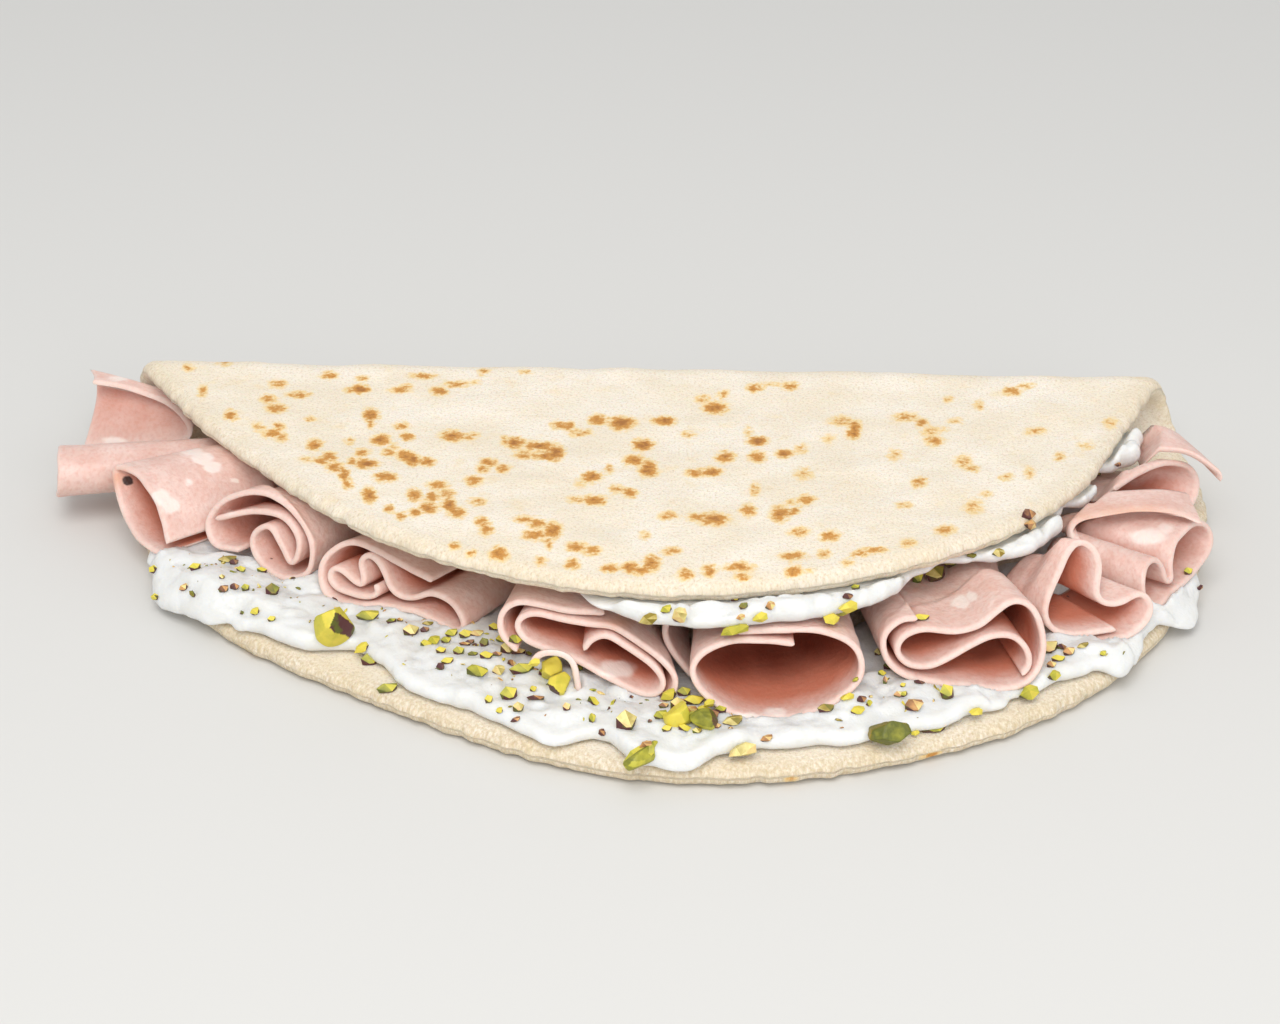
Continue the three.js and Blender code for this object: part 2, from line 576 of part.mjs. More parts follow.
function chips() {
  const draw = seeded(CHIPS.seed);
  const made = [];
  while (made.length < CHIPS.count) {
    const angle = lerp(CHIPS.fromDeg, CHIPS.toDeg, (made.length + draw()) / CHIPS.count);
    const edge = rimRadius(rad(angle)) - valueAt(LOWER_EDGE, angle);
    const back = rimRadius(rad(angle)) - valueAt(SLICE_LINE, angle);
    const radius = lerp(Math.min(back + 4.5, edge - 2), edge - 2, draw());
    const size = lerp(CHIPS.least, CHIPS.most, draw() ** 1.5);
    const chip = nugget({
      at: [...lowerPlace(angle, radius), lowerCreamTop(angle, radius, edge)],
      size: [size, size * 0.7, size * 0.6],
      turnDeg: 360 * draw(),
      detail: 0,
      roughness: 0.3,
      draw,
    });
    made.push(chip);
  }
  return made;
}

const piadina = new THREE.Group();

function add(name, geometry, look) {
  geometry.computeVertexNormals();
  const mesh = new THREE.Mesh(geometry, new THREE.MeshStandardMaterial(look));
  mesh.name = name;
  piadina.add(mesh);
}

const kernelSeats = KERNELS.map((each) => kernel(each, GAP));
const tornSeat = sliceOf(SLICES.at(-1), SHEET + 2 * GAP);
add('bread', bread(), LOOKS.bread);
add('cream_lower', cut(joined(lowerCream(), chips()), [tornSeat, ...kernelSeats]), LOOKS.cream);
add('cream_upper', cut(upperCream(), [kernelSeats.at(-1)]), LOOKS.cream);
for (const slice of SLICES) {
  add(slice.name, sliceOf(slice), LOOKS.mortadella);
}
KERNELS.forEach((each, i) => {
  add(`pistachio_${String(i + 1).padStart(2, '0')}`, kernel(each), LOOKS.pistachio);
});

// The part's frame: its origin under the middle of its box.
const box = new THREE.Box3().setFromObject(piadina);
const middle = box.getCenter(new THREE.Vector3());
piadina.position.set(-middle.x, -middle.y, -box.min.z);
piadina.updateMatrixWorld(true);

export default piadina;
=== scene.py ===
"""A folded piadina: flatbread, soft cheese cream, folded mortadella and chopped pistachios.

The script is laid out as a Blender add-on: the sizes and colours are properties, each kind of
piece has an operator, and a panel lists them. Shapes are worked out in millimetres, in the
frame in which the piadina was drawn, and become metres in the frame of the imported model.
"""

import json
import math
from functools import partial

import bmesh
import bpy
import numpy as np
from mathutils import Matrix, Vector
from mathutils.bvhtree import BVHTree

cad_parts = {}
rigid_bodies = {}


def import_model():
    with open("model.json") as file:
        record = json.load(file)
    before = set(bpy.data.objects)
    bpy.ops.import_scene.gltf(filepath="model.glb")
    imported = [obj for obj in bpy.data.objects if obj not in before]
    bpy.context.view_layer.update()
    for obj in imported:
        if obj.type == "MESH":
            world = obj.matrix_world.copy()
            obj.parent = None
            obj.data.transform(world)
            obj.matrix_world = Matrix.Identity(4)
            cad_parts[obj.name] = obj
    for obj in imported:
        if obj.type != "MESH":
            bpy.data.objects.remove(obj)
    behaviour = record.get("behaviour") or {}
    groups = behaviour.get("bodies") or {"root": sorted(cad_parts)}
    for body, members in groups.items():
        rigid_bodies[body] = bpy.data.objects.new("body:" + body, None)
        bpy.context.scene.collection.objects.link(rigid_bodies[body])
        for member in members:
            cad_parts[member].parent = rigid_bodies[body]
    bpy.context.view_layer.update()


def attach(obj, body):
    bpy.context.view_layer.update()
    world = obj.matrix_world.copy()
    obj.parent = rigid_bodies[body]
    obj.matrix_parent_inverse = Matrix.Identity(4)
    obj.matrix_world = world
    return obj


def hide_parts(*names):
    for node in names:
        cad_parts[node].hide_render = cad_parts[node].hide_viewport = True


bl_info = {
    "name": "Piadina",
    "version": (1, 0, 0),
    "blender": (4, 5, 0),
    "location": "3D View > Sidebar > Piadina",
    "description": "A folded piadina with cream, mortadella and pistachios",
    "category": "Mesh",
}

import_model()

MM = 0.001
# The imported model's origin lies under the middle of its box: this far from the drawing's.
SHIFT = np.array([2.9077, 38.4594, 0.0])

# The camera in the drawing's frame: place, pitch and focal length in pixels.
CAMERA = {
    "place": (0.0, -554.83, 340.0),
    "pitch_deg": 31.5,
    "focal_px": 2500.0,
    "middle_px": (640.0, 512.0),
    "width_px": 1280.0,
}

# The bread is a round of dough, folded back on itself behind its middle.
BREAD = {
    "radius": 141.0,
    "thickness": 5.5,
    "rim_round": 3.6,
    "centre_x": 8.0,
    "fold_behind_middle": 19.0,
    "fold_y": 24.9,
    "fold_height": 27.0,
    "flap_rise": 8.0,
    "flap_reach": 125.0,
    "flap_sag": 0.35,
    "flap_swell": 0.05,
    "border": 7.0,
    "crumbly": (0.9, 0.1),
    "flattened": 0.6,
    "turn_deg": -2.0,
}
# Where the round departs from a circle: size of the bulge or dent, its direction, its width.
ROUND_FAULTS = (
    (7.5, 88.0, 24.0),
    (-7.5, 140.0, 20.0),
    (6.0, 172.0, 10.0),
    (-12.0, 24.0, 22.0),
    (2.5, -45.0, 20.0),
    (-10.5, -120.0, 23.0),
)
SHEET = 1.5
GAP = 0.35
SLICE_FLOOR = 7.4
PILE_REACH = 21.0
UPPER_CREAM = 2.9
UPPER_FROM_X = (-24.0, -15.0)

# How far inside the rim the lower cream ends, by direction; minus hangs over the rim.
LOWER_EDGE = (
    (-180, 16), (-162, 10), (-155, -1.5), (-149, -5), (-144, -3.5), (-139, -0.5), (-131, 3),
    (-126, 9), (-121, 7), (-117, 2.2), (-110, 3.2), (-104, 2.4), (-100, 0.6), (-96, 6.3),
    (-91.5, 0.2), (-87.5, -1.2), (-82, 5.5), (-75, 4), (-66, 3.4), (-50, 4.6), (-45.5, 1),
    (-43, -3), (-39, -0.5), (-35, 1), (-30.5, -4.5), (-26, -2.5), (-20, 4), (-10, 14), (0, 18),
)
# How far inside the rim the slices stand, by direction.
SLICE_LINE = (
    (-180, 2), (-154, -5), (-148, 9), (-141, 19), (-135, 17), (-126, 22), (-117, 24), (-106, 17),
    (-91, 17), (-84, 13), (-71, 11), (-66, 15), (-61, 12), (-55, 7), (-50, 4), (-45, 6),
    (-38, -4), (-32, 1), (-20, -2), (0, -2),
)
# How far the upper cream comes out past the rim of the flap, by direction.
UPPER_EDGE = (
    (23, -3), (25, 4), (28.5, 5.5), (32, 2), (34, -3), (37, -2), (39, 2), (41.5, 1.5), (43.5, -3),
    (45.5, -1), (48, 4), (52, 4.5), (57, 3), (59.5, -1), (62, -4), (66, -2), (69, 3), (73, 5),
    (77, 6.5), (84, 6.5), (91, 5), (95, 1), (100, -10),
)

# Each slice is a folded sheet. Its fold is drawn in the plane of its mouth, to the right and
# up from its foot; the mouth faces one way, leans back, and the slice runs inwards.
SLICES = {
    1: dict(
        foot=(-134.6, 17, 8.4), face=-10, lean=50, run=90, depth=17, turn=-15, end=(1.05, 0.3), hangs=True,
        fold=((-14.5, 18.5), (-6.5, 18), (0, 16.5), (6.5, 14.5), (12, 11), (15, 6.5), (13, 2.6),
              (7, 1), (0, 0.2), (-7, 0), (-13, 0.4))),
    2: dict(
        foot=(-150, -4, 8), face=-80, lean=8, run=8, depth=43, end=(0.7, 0.95),
        fold=((-14, 0.6), (-8, 0), (-1, 0.2), (3.6, 1.8), (5.4, 5), (4.2, 8.6), (1, 10.4),
              (-3.5, 10.8), (-7, 9.6))),
    3: dict(
        foot=(-118.6, -33.9, 8.4), face=-45, lean=25, run=31, depth=35, end=(0.8, 1),
        fold=((0, 0), (-4, -0.2), (-9.5, 0.2), (-15.5, 2.5), (-20, 5.5), (-23.5, 9.5),
              (-25.5, 13), (-21, 14.5), (-15.5, 14.5), (-10.5, 13), (-6, 10.5), (-1.5, 7),
              (1.5, 3.5))),
    4: dict(
        foot=(-83.2, -46.8, 8.5), face=-30, lean=25, run=44, depth=24, end=(0.75, 1), back=(2, 44),
        fold=((-27.2, 8.6), (-17.5, 13), (-7, 14), (-1.5, 9), (-2.7, 3.7), (-7, 7.5), (-11.5, 11),
              (-15.5, 7.5), (-12.5, 2.2), (-4, 0), (2, 3), (1.7, 10), (-5, 16.5), (-15, 18.5),
              (-26, 13.5), (-29.5, 7), (-26, 2.2), (-18.5, 3))),
    5: dict(
        foot=(-42.8, -68.8, 8.5), face=-22, lean=35, run=50, depth=24, end=(0.92, 1), back=(0, 60),
        fold=((-23.5, 7), (-22.3, 5), (-25, 3.4), (-30, 3.5), (-34, 4.2), (-36, 6.3),
              (-35.3, 8.5), (-32.5, 8.2), (-29.5, 6.7), (-26.8, 5.8), (-27.4, 8.8), (-28.8, 11.6),
              (-27, 13.4), (-24.2, 12.3), (-22, 9.8), (-19.8, 7.2), (-16.5, 5.6), (-13, 5.8),
              (-9, 7.8), (-5, 7.2), (-1.2, 5), (1, 1.8), (-1, 0.2), (-6, 1.4), (-12, 2.7),
              (-19, 2.4), (-28, 1), (-34, 1.2), (-38, 4.8), (-38.6, 8.8), (-36.5, 12.6),
              (-31.5, 15.6), (-24, 14.4), (-16.5, 12.4), (-9.5, 10.6))),
    6: dict(
        foot=(2.7, -97.5, 8.5), face=-15, lean=35, run=86, depth=26, end=(0.72, 1), back=(0, 76),
        fold=((-17.5, 9.8), (-16, 12.5), (-13, 14), (-7, 11.8), (-1, 8.6), (2, 5.2), (1, 2.8),
              (-3, 2.2), (-10, 4.2), (-19, 7.4), (-27, 9), (-32, 10.6), (-34.2, 13.6),
              (-31.5, 16.4), (-25, 16.2), (-18, 16), (-12, 16.1), (-6, 13.8), (1, 10), (4.6, 6.4),
              (4.2, 3), (2, 0.4))),
    7: dict(
        foot=(2.7, -97.5, 8.5), face=-15, lean=35, run=80, depth=26, end=(0.8, 1), back=(0, 76),
        fold=((-33, 7.5), (-37.5, 11), (-38, 15.2), (-35, 18.3), (-29, 18.6), (-22, 18.2),
              (-14, 19))),
    8: dict(
        foot=(12.1, -89.8, 11), face=-5, lean=30, run=90, depth=22, end=(0.6, 1),
        fold=((-0.5, 12.4), (-3.5, 13.6), (-6.2, 12.6), (-7, 9.4), (-5.2, 5.6), (-2.6, 2.6),
              (0, 0))),
    9: dict(
        foot=(29.1, -102.9, 8.5), face=3, lean=33, run=91, depth=40, end=(0.86, 0.9), back=(0, 68),
        fold=((6, 16.8), (-1.5, 17.5), (-7.5, 17.8), (-15, 15), (-17.2, 11.5), (-15, 6.5),
              (-8, 1.5), (0, 0), (8, 0.8), (16, 4.4), (21, 10), (19.5, 15.6), (13.5, 19), (3, 20),
              (-7, 20))),
    10: dict(
        foot=(80.7, -91.3, 8.5), face=3, lean=35, run=101, depth=32, end=(0.92, 0.9), back=(2, 62),
        fold=((-17, 16.5), (-21, 16.3), (-24.5, 13), (-24.5, 8), (-20, 3.5), (-13, 1.8), (-6, 1),
              (1, 0), (7, 0.8), (11, 6), (11.5, 13), (9, 18.6), (5, 20), (1, 17.6), (-3, 14.6),
              (-8, 13.3), (-16, 14), (-20.8, 12.2), (-22, 9), (-19.5, 6), (-14.5, 5.6), (-9, 7.8),
              (-4, 10.6), (0.5, 12.2), (5, 11.6), (8, 8.5), (8, 4.8), (6.4, 3))),
    11: dict(
        foot=(98.7, -72.1, 9), face=5, lean=34, run=124, depth=22, end=(0.74, 0.92),
        fold=((13, 1.8), (8, 1.4), (3, 1), (-1.5, 2.2), (-3.3, 5.5), (-2.8, 9), (-1, 13), (1, 17),
              (2.8, 20.4), (5.4, 22.6), (8.2, 21.8), (9.8, 19), (10, 15.6), (9.4, 12.4),
              (9.2, 9.8), (11, 8), (14.5, 8), (18, 9.4), (20.5, 9.6), (21.8, 7.4), (21.2, 4.2),
              (18.5, 1.2), (14, -0.4), (9, -1))),
    12: dict(
        foot=(124.2, -57.7, 8.5), face=50, lean=20, run=150, depth=30, end=(0.7, 1),
        fold=((-4.5, 3.5), (-4, 8), (-1, 11.3), (3.2, 11), (5.2, 7.5), (5.6, 4.2), (7.8, 3.6),
              (8.6, 7.5), (11.5, 11.3), (17, 12.2), (22.5, 12), (27, 9.5), (28, 6), (24.5, 2.8),
              (17, 1.4), (8, 0.8), (0, 0))),
    13: dict(
        foot=(109.3, -47, 21.5), face=10, lean=60, run=95, depth=15, end=(1, 1),
        fold=((27, 1.5), (20.5, 5), (10.5, 6.5), (1.5, 6), (-4, 4.5), (-6, 1.5), (-4, -0.5))),
    14: dict(
        foot=(139.4, -14.7, 9), face=38, lean=25, run=150, depth=30, end=(0.75, 0.8),
        fold=((-23, 13.6), (-17, 14.6), (-9, 15), (-2, 13.8), (3.5, 11), (5.5, 7.2), (4, 3.4),
              (0, 1), (-5, 0.2), (-10, 0))),
    15: dict(
        foot=(137, -12.5, 24.7), face=-18, lean=10, run=108, depth=15, end=(0.5, 0.3),
        fold=((-10.5, -0.4), (-5, 0.3), (0, 0.4), (4, -0.8), (7, -2.6), (9.4, -4.2),
              (9.2, -5.8))),
    16: dict(
        foot=(-13.6, -94.7, 9), face=-5, lean=15, run=90, depth=5, end=(0.9, 0.9),
        fold=((-11, 7), (-10, 9), (-8, 10), (-4.5, 10), (-2, 8.6), (-1, 6.2), (-0.6, 3.4),
              (0, 0.2))),
}

# How strongly painted shade darkens and warms the insides of the paler slices' folds, where the others' is
# 1.
FOLD_SHADE_STRENGTH = {
    1: 0.4, 2: 0.1, 4: 0.7, 12: 0.6,
    13: 0.4, 14: 0.8, 15: 0.2,
}

# Scorch marks of the flap as the camera sees them, by how dark they are: column and row in the
# frame, half their length and half their height in pixels.
SCORCHES = {
    0.3: (
        (476, 382, 6, 3), (580, 484, 7, 5), (772, 384, 10, 3), (748, 431, 5, 6), (829, 438, 8, 5),
        (791, 503, 9, 4), (955, 421, 8, 4), (940, 429, 9, 4), (1086, 446, 9, 5),
    ),
    0.35: (
        (225, 363, 9, 3), (349, 441, 6, 4), (393, 447, 6, 4), (307, 459, 8, 4), (525, 372, 7, 3),
        (541, 560, 7, 6), (688, 435, 9, 4), (801, 449, 7, 6), (895, 455, 8, 6), (804, 474, 10, 7),
        (904, 505, 9, 4), (848, 562, 8, 4), (806, 571, 8, 3), (1026, 386, 9, 3), (979, 405, 6, 5),
        (1110, 423, 8, 6), (1060, 457, 7, 5), (1007, 477, 8, 4), (1030, 473, 6, 6), (987, 494, 7, 4),
        (973, 507, 10, 8),
    ),
    0.4: (
        (259, 427, 6, 5), (470, 436, 9, 4), (507, 438, 6, 3), (580, 433, 13, 4), (575, 500, 10, 4),
        (645, 535, 5, 5), (703, 399, 8, 4), (842, 421, 13, 5), (930, 431, 9, 5), (755, 489, 5, 8),
        (948, 399, 5, 4), (1036, 431, 11, 4), (963, 462, 9, 7),
    ),
    0.45: (
        (407, 386, 6, 3), (310, 419, 5, 3), (610, 469, 5, 4), (908, 543, 8, 4), (972, 468, 7, 4),
    ),
    0.5: (
        (188, 367, 5, 4), (203, 391, 5, 6), (278, 384, 9, 4), (350, 390, 6, 3), (371, 424, 4, 5),
        (282, 437, 6, 5), (348, 484, 5, 5), (484, 372, 6, 4), (390, 453, 8, 4), (447, 494, 8, 4),
        (478, 501, 9, 4), (471, 553, 5, 4), (523, 519, 10, 4), (549, 543, 4, 6), (616, 489, 7, 4),
        (668, 516, 9, 4), (723, 394, 5, 4), (905, 417, 12, 4), (919, 482, 8, 5), (799, 532, 10, 5),
        (824, 554, 7, 5), (743, 577, 8, 4), (1012, 391, 9, 5), (945, 530, 10, 5),
    ),
    0.55: (
        (362, 378, 6, 3), (299, 395, 11, 3), (279, 427, 6, 5), (401, 426, 7, 4), (523, 455, 9, 4),
        (438, 485, 10, 4), (481, 521, 6, 5), (934, 441, 8, 5), (860, 554, 9, 3),
    ),
    0.6: (
        (329, 376, 8, 4), (268, 399, 7, 4), (276, 408, 9, 5), (272, 434, 9, 4), (408, 437, 6, 4),
        (335, 467, 9, 5), (362, 453, 7, 4), (352, 461, 4, 3), (414, 495, 7, 6), (389, 508, 5, 4),
        (401, 516, 5, 4), (415, 513, 6, 4), (423, 376, 12, 3), (457, 384, 12, 3), (560, 425, 9, 4),
        (503, 468, 7, 4), (456, 512, 9, 6), (487, 529, 6, 6), (455, 546, 5, 4), (537, 523, 8, 5),
        (535, 535, 12, 5), (573, 564, 7, 5), (576, 547, 9, 5), (592, 551, 9, 4), (610, 568, 9, 4),
        (672, 551, 9, 4), (755, 388, 7, 4), (790, 386, 8, 4), (695, 473, 10, 4), (748, 510, 7, 6),
        (793, 511, 7, 3), (696, 517, 9, 4), (793, 556, 12, 4), (874, 550, 12, 3), (710, 571, 7, 6),
        (685, 574, 7, 5),
    ),
    0.65: (
        (400, 390, 10, 3), (231, 415, 6, 5), (329, 457, 7, 5), (386, 477, 11, 5), (598, 420, 9, 5),
        (488, 462, 8, 4), (482, 469, 6, 4), (473, 481, 8, 4), (432, 497, 7, 6), (428, 508, 9, 5),
        (641, 571, 9, 4), (757, 457, 8, 5), (921, 423, 6, 4), (830, 536, 9, 5), (793, 571, 7, 6),
    ),
    0.7: (
        (314, 445, 7, 5), (320, 461, 6, 3), (344, 475, 5, 5), (369, 495, 7, 7), (452, 436, 11, 5),
        (427, 462, 7, 4), (545, 456, 13, 4), (569, 426, 5, 4), (634, 460, 9, 5), (499, 554, 9, 6),
        (630, 567, 8, 5), (652, 563, 8, 7), (853, 434, 6, 5), (806, 500, 8, 4), (780, 514, 9, 7),
        (740, 567, 13, 4),
    ),
    0.75: (
        (371, 415, 7, 6), (380, 440, 8, 5), (439, 391, 7, 4), (406, 456, 8, 5), (540, 446, 15, 4),
        (553, 530, 8, 7), (725, 457, 8, 5), (855, 428, 6, 7), (714, 519, 13, 6),
    ),
    0.8: (
        (514, 443, 9, 5), (648, 469, 8, 7), (592, 477, 8, 5), (630, 493, 6, 4), (594, 500, 11, 4),
        (715, 408, 11, 5),
    ),
    0.85: (
        (366, 464, 10, 4), (413, 460, 6, 5), (556, 453, 7, 7), (664, 421, 10, 4), (450, 505, 6, 6),
        (757, 441, 9, 4), (785, 454, 7, 4), (712, 472, 9, 4),
    ),
    0.9: (
        (361, 389, 7, 4), (622, 423, 11, 6), (643, 445, 9, 5),
    ),
}

# Pieces of kernel as large as berries: middle, size, turn, colour, and how much skin is left on
# them and towards which side.
KERNELS = {
    1: dict(at=(-71.4, -71.8, 13.1), size=(8.5, 7.9, 10.6), turn=65, tone="bright",
            skin=0.15, skin_side=(0.68, -0.68, 0.27)),
    2: dict(at=(55.1, -108.6, 9.5), size=(9.5, 6.5, 6), turn=10, tone="dark",
            skin=0.22, skin_side=(0.8, -0.3, 0.3)),
    3: dict(at=(8.2, -105, 11.8), size=(6.5, 6.5, 5.5), turn=10, tone="bright",
            skin=0.2, skin_side=(-0.8, -0.3, -0.2)),
    4: dict(at=(14.6, -107, 11.6), size=(5.5, 6.5, 5), turn=130, tone="green",
            skin=0.45, skin_side=(0.6, -0.6, 0.2)),
    5: dict(at=(-20.6, -88, 12), size=(5.5, 6, 5), turn=45, tone="bright",
            skin=0.1, skin_side=(0, 0, -1)),
    6: dict(at=(-18.2, -94, 11.6), size=(6, 5.5, 5), turn=100, tone="bright",
            skin=0.25, skin_side=(-0.7, -0.6, 0)),
    7: dict(at=(0.4, -116.6, 8.9), size=(10, 4.5, 4.5), turn=40, tone="green",
            skin=0.14, skin_side=(0.6, 0.2, 0.7)),
    8: dict(at=(45.3, -83.5, 26.2), size=(9, 5, 4.5), turn=20, tone="green",
            skin=0.15, skin_side=(0, -0.4, -0.8)),
}

# Marks on the slices as the camera sees them, by slice: column, row, half length and half height
# in pixels, and strength. They are patches of fat together with painted highlights, painted warm shade,
# painted shadow inside the folds, and peppercorns.
MARKS = {
    # Pale patches: partly real fat, partly painted highlights on the slices' lit outer faces.
    "fat": {
        1: ((114, 441, 14, 5, 0.8), (150, 372, 14, 3, 0.5), (120, 378, 20, 4, 0.6)),
        3: ((191, 451, 11, 5, 1.0), (202, 458, 11, 6, 1.0), (213, 467, 9, 6, 1.0),
            (161, 497, 9, 8, 1.0), (170, 505, 9, 8, 1.0), (189, 482, 6, 4, 0.7), (235, 481, 5, 3, 0.7)),
        4: ((230, 512, 10, 4, 0.5),),
        6: ((616, 669, 20, 10, 0.9),),
        9: ((748, 719, 22, 6, 1.0), (775, 712, 14, 5, 0.8)),
        10: ((960, 602, 10, 7, 0.9), (972, 596, 7, 5, 0.8)),
        12: ((1148, 536, 20, 9, 0.9), (1166, 528, 10, 6, 0.7)),
        14: ((1162, 447, 16, 4, 0.8), (1178, 452, 12, 4, 0.8)),
        16: ((556, 672, 34, 30, 0.7),),
    },
    # Painted warm shade in the insides and under the folds of the slices.
    "stain": {
        3: ((118, 478, 8, 9, 0.7),),
        6: ((620, 622, 16, 6, 0.5),),
        13: ((1130, 512, 45, 7, 0.5), (1085, 517, 20, 6, 0.4)),
    },
    # Painted shadow in the darkest parts inside the folds.
    "gloom": {
        5: ((498, 609, 16, 8, 0.6),),
        6: ((540, 625, 20, 7, 0.5), (612, 645, 14, 7, 0.7), (585, 648, 10, 6, 0.6)),
        9: ((730, 660, 34, 20, 1.0), (770, 655, 34, 20, 1.0), (805, 645, 26, 16, 1.0)),
        10: ((985, 655, 14, 7, 0.7),),
        11: ((1060, 560, 6, 16, 0.6),),
    },
    "pepper": {
        3: ((128, 481, 5, 5, 1.0),),
        4: ((272, 557, 2, 2, 1.0),),
        11: ((1066, 596, 2, 2, 1.0),),
    },
}
# How fast marks fade outwards: half its size from its middle, a mark is weaker by this power of e.
MARK_FADE = 0.9
# Scorch marks on the sides that the camera doesn't see: how many, half sizes, how dark.
HIDDEN_MARKS = {"count": 260, "half": (1.2, 3.2), "dark": (0.35, 0.9)}

# Bits of pistachio that the camera sees: their colour, column and row, length and height.
TONES = {
    "bright": 0.0, "green": 0.18, "dark": 0.36, "olive": 0.54, "pale": 0.7, "tan": 0.85, "skin": 1.0,
}
BITS = (
    ("bright", 196, 569, 10, 8), ("tan", 185, 588, 8, 7), ("dark", 194, 595, 4, 9),
    ("olive", 228, 560, 16, 6), ("skin", 234, 563, 8, 6), ("green", 241, 571, 8, 7),
    ("bright", 262, 572, 9, 6), ("pale", 222, 578, 5, 5), ("tan", 224, 590, 9, 8),
    ("skin", 234, 588, 8, 7), ("green", 246, 590, 7, 8), ("dark", 272, 593, 12, 13),
    ("bright", 256, 612, 8, 8), ("bright", 272, 620, 7, 6), ("green", 368, 617, 20, 10),
    ("dark", 392, 622, 9, 5), ("tan", 400, 621, 6, 4), ("pale", 411, 633, 14, 12),
    ("bright", 363, 648, 14, 8), ("green", 370, 663, 15, 13), ("green", 388, 690, 18, 10),
    ("bright", 155, 570, 7, 8), ("bright", 157, 597, 6, 8), ("skin", 425, 631, 8, 6),
    ("olive", 428, 624, 10, 4), ("skin", 441, 668, 7, 9), ("green", 446, 641, 9, 7),
    ("bright", 441, 652, 9, 7), ("green", 459, 653, 10, 9), ("tan", 465, 645, 10, 4),
    ("pale", 477, 634, 12, 6), ("dark", 485, 645, 8, 10), ("bright", 494, 629, 10, 8),
    ("pale", 506, 651, 12, 13), ("tan", 518, 653, 14, 7), ("dark", 528, 655, 6, 5),
    ("green", 476, 673, 20, 12), ("pale", 498, 671, 11, 11), ("green", 523, 671, 22, 11),
    ("bright", 489, 701, 7, 9), ("green", 510, 697, 15, 15), ("bright", 500, 711, 6, 7),
    ("pale", 518, 710, 10, 11), ("skin", 516, 720, 9, 4), ("bright", 533, 690, 6, 7),
    ("skin", 536, 699, 16, 5), ("pale", 567, 709, 7, 9), ("bright", 592, 703, 14, 8),
    ("green", 592, 720, 6, 11), ("skin", 603, 733, 6, 10), ("pale", 625, 727, 18, 22),
    ("skin", 650, 722, 4, 4), ("green", 640, 754, 28, 10), ("tan", 646, 746, 11, 9),
    ("dark", 580, 670, 5, 8), ("skin", 631, 697, 4, 3), ("pale", 677, 708, 14, 14),
    ("green", 672, 721, 12, 8), ("green", 696, 719, 24, 12), ("bright", 694, 702, 18, 10),
    ("skin", 713, 717, 10, 14), ("tan", 716, 727, 9, 6), ("olive", 733, 722, 18, 9),
    ("bright", 667, 730, 9, 7), ("pale", 742, 747, 24, 16), ("tan", 767, 739, 11, 6),
    ("olive", 648, 619, 16, 10), ("green", 667, 610, 10, 8), ("pale", 680, 616, 13, 20),
    ("bright", 735, 600, 8, 7), ("dark", 744, 607, 8, 7), ("tan", 740, 617, 8, 6),
    ("green", 735, 627, 24, 10), ("bright", 759, 616, 13, 13), ("tan", 769, 606, 8, 11),
    ("bright", 830, 615, 13, 14), ("bright", 846, 606, 18, 12), ("skin", 847, 597, 10, 6),
    ("green", 856, 589, 8, 6), ("green", 917, 581, 9, 13), ("olive", 937, 578, 17, 18),
    ("olive", 954, 564, 14, 9), ("dark", 971, 556, 10, 4), ("olive", 997, 553, 12, 8),
    ("skin", 1027, 516, 13, 11), ("tan", 1028, 524, 14, 10), ("olive", 878, 654, 7, 8),
    ("dark", 888, 668, 9, 8), ("bright", 881, 674, 8, 6), ("green", 856, 680, 6, 4),
    ("bright", 846, 696, 12, 9), ("olive", 826, 710, 15, 9), ("skin", 861, 700, 9, 7),
    ("green", 868, 704, 5, 8), ("bright", 857, 711, 13, 8), ("tan", 885, 683, 4, 9),
    ("bright", 903, 686, 5, 5), ("skin", 919, 683, 11, 4), ("tan", 899, 696, 9, 7),
    ("green", 905, 695, 6, 6), ("tan", 913, 707, 17, 13), ("green", 948, 697, 12, 17),
    ("bright", 974, 710, 11, 12), ("green", 1027, 693, 17, 16), ("green", 1052, 676, 11, 12),
    ("pale", 1049, 650, 18, 13), ("bright", 1058, 660, 13, 7), ("tan", 1051, 666, 9, 7),
    ("tan", 1069, 653, 11, 9), ("skin", 1061, 648, 9, 6), ("olive", 1083, 646, 11, 4),
    ("green", 1103, 654, 6, 6), ("green", 933, 730, 24, 11), ("bright", 915, 731, 7, 6),
    ("green", 1188, 573, 8, 8), ("skin", 1198, 588, 4, 7), ("bright", 1203, 602, 7, 12),
    ("bright", 921, 619, 16, 7), ("olive", 1098, 475, 6, 6), ("skin", 1117, 464, 5, 6),
    ("bright", 670, 696, 14, 11), ("green", 684, 694, 12, 10), ("skin", 681, 702, 9, 5),
    ("tan", 690, 711, 12, 8), ("bright", 703, 712, 13, 9), ("bright", 710, 702, 11, 9),
    ("green", 661, 716, 12, 9), ("tan", 664, 707, 9, 6), ("dark", 705, 726, 12, 6),
    ("bright", 684, 729, 13, 7), ("olive", 697, 732, 9, 6), ("green", 721, 712, 10, 8),
    ("green", 452, 634, 11, 8), ("bright", 466, 636, 12, 9), ("skin", 470, 643, 9, 5),
    ("bright", 502, 640, 11, 8), ("green", 514, 641, 12, 9), ("tan", 497, 655, 9, 5),
    ("bright", 486, 657, 12, 8), ("dark", 473, 655, 9, 5), ("green", 434, 641, 11, 9),
    ("bright", 448, 662, 11, 7), ("tan", 511, 664, 10, 6), ("bright", 534, 662, 11, 8),
    ("bright", 425, 645, 10, 8), ("green", 543, 674, 10, 8), ("bright", 561, 692, 9, 7),
)
# Part of each bit is hidden, so it is larger than it looks.
BIT_SCALE = 1.55
# How far a bit's middle lies over what carries it, as a share of its height.
BIT_RISE = 0.18
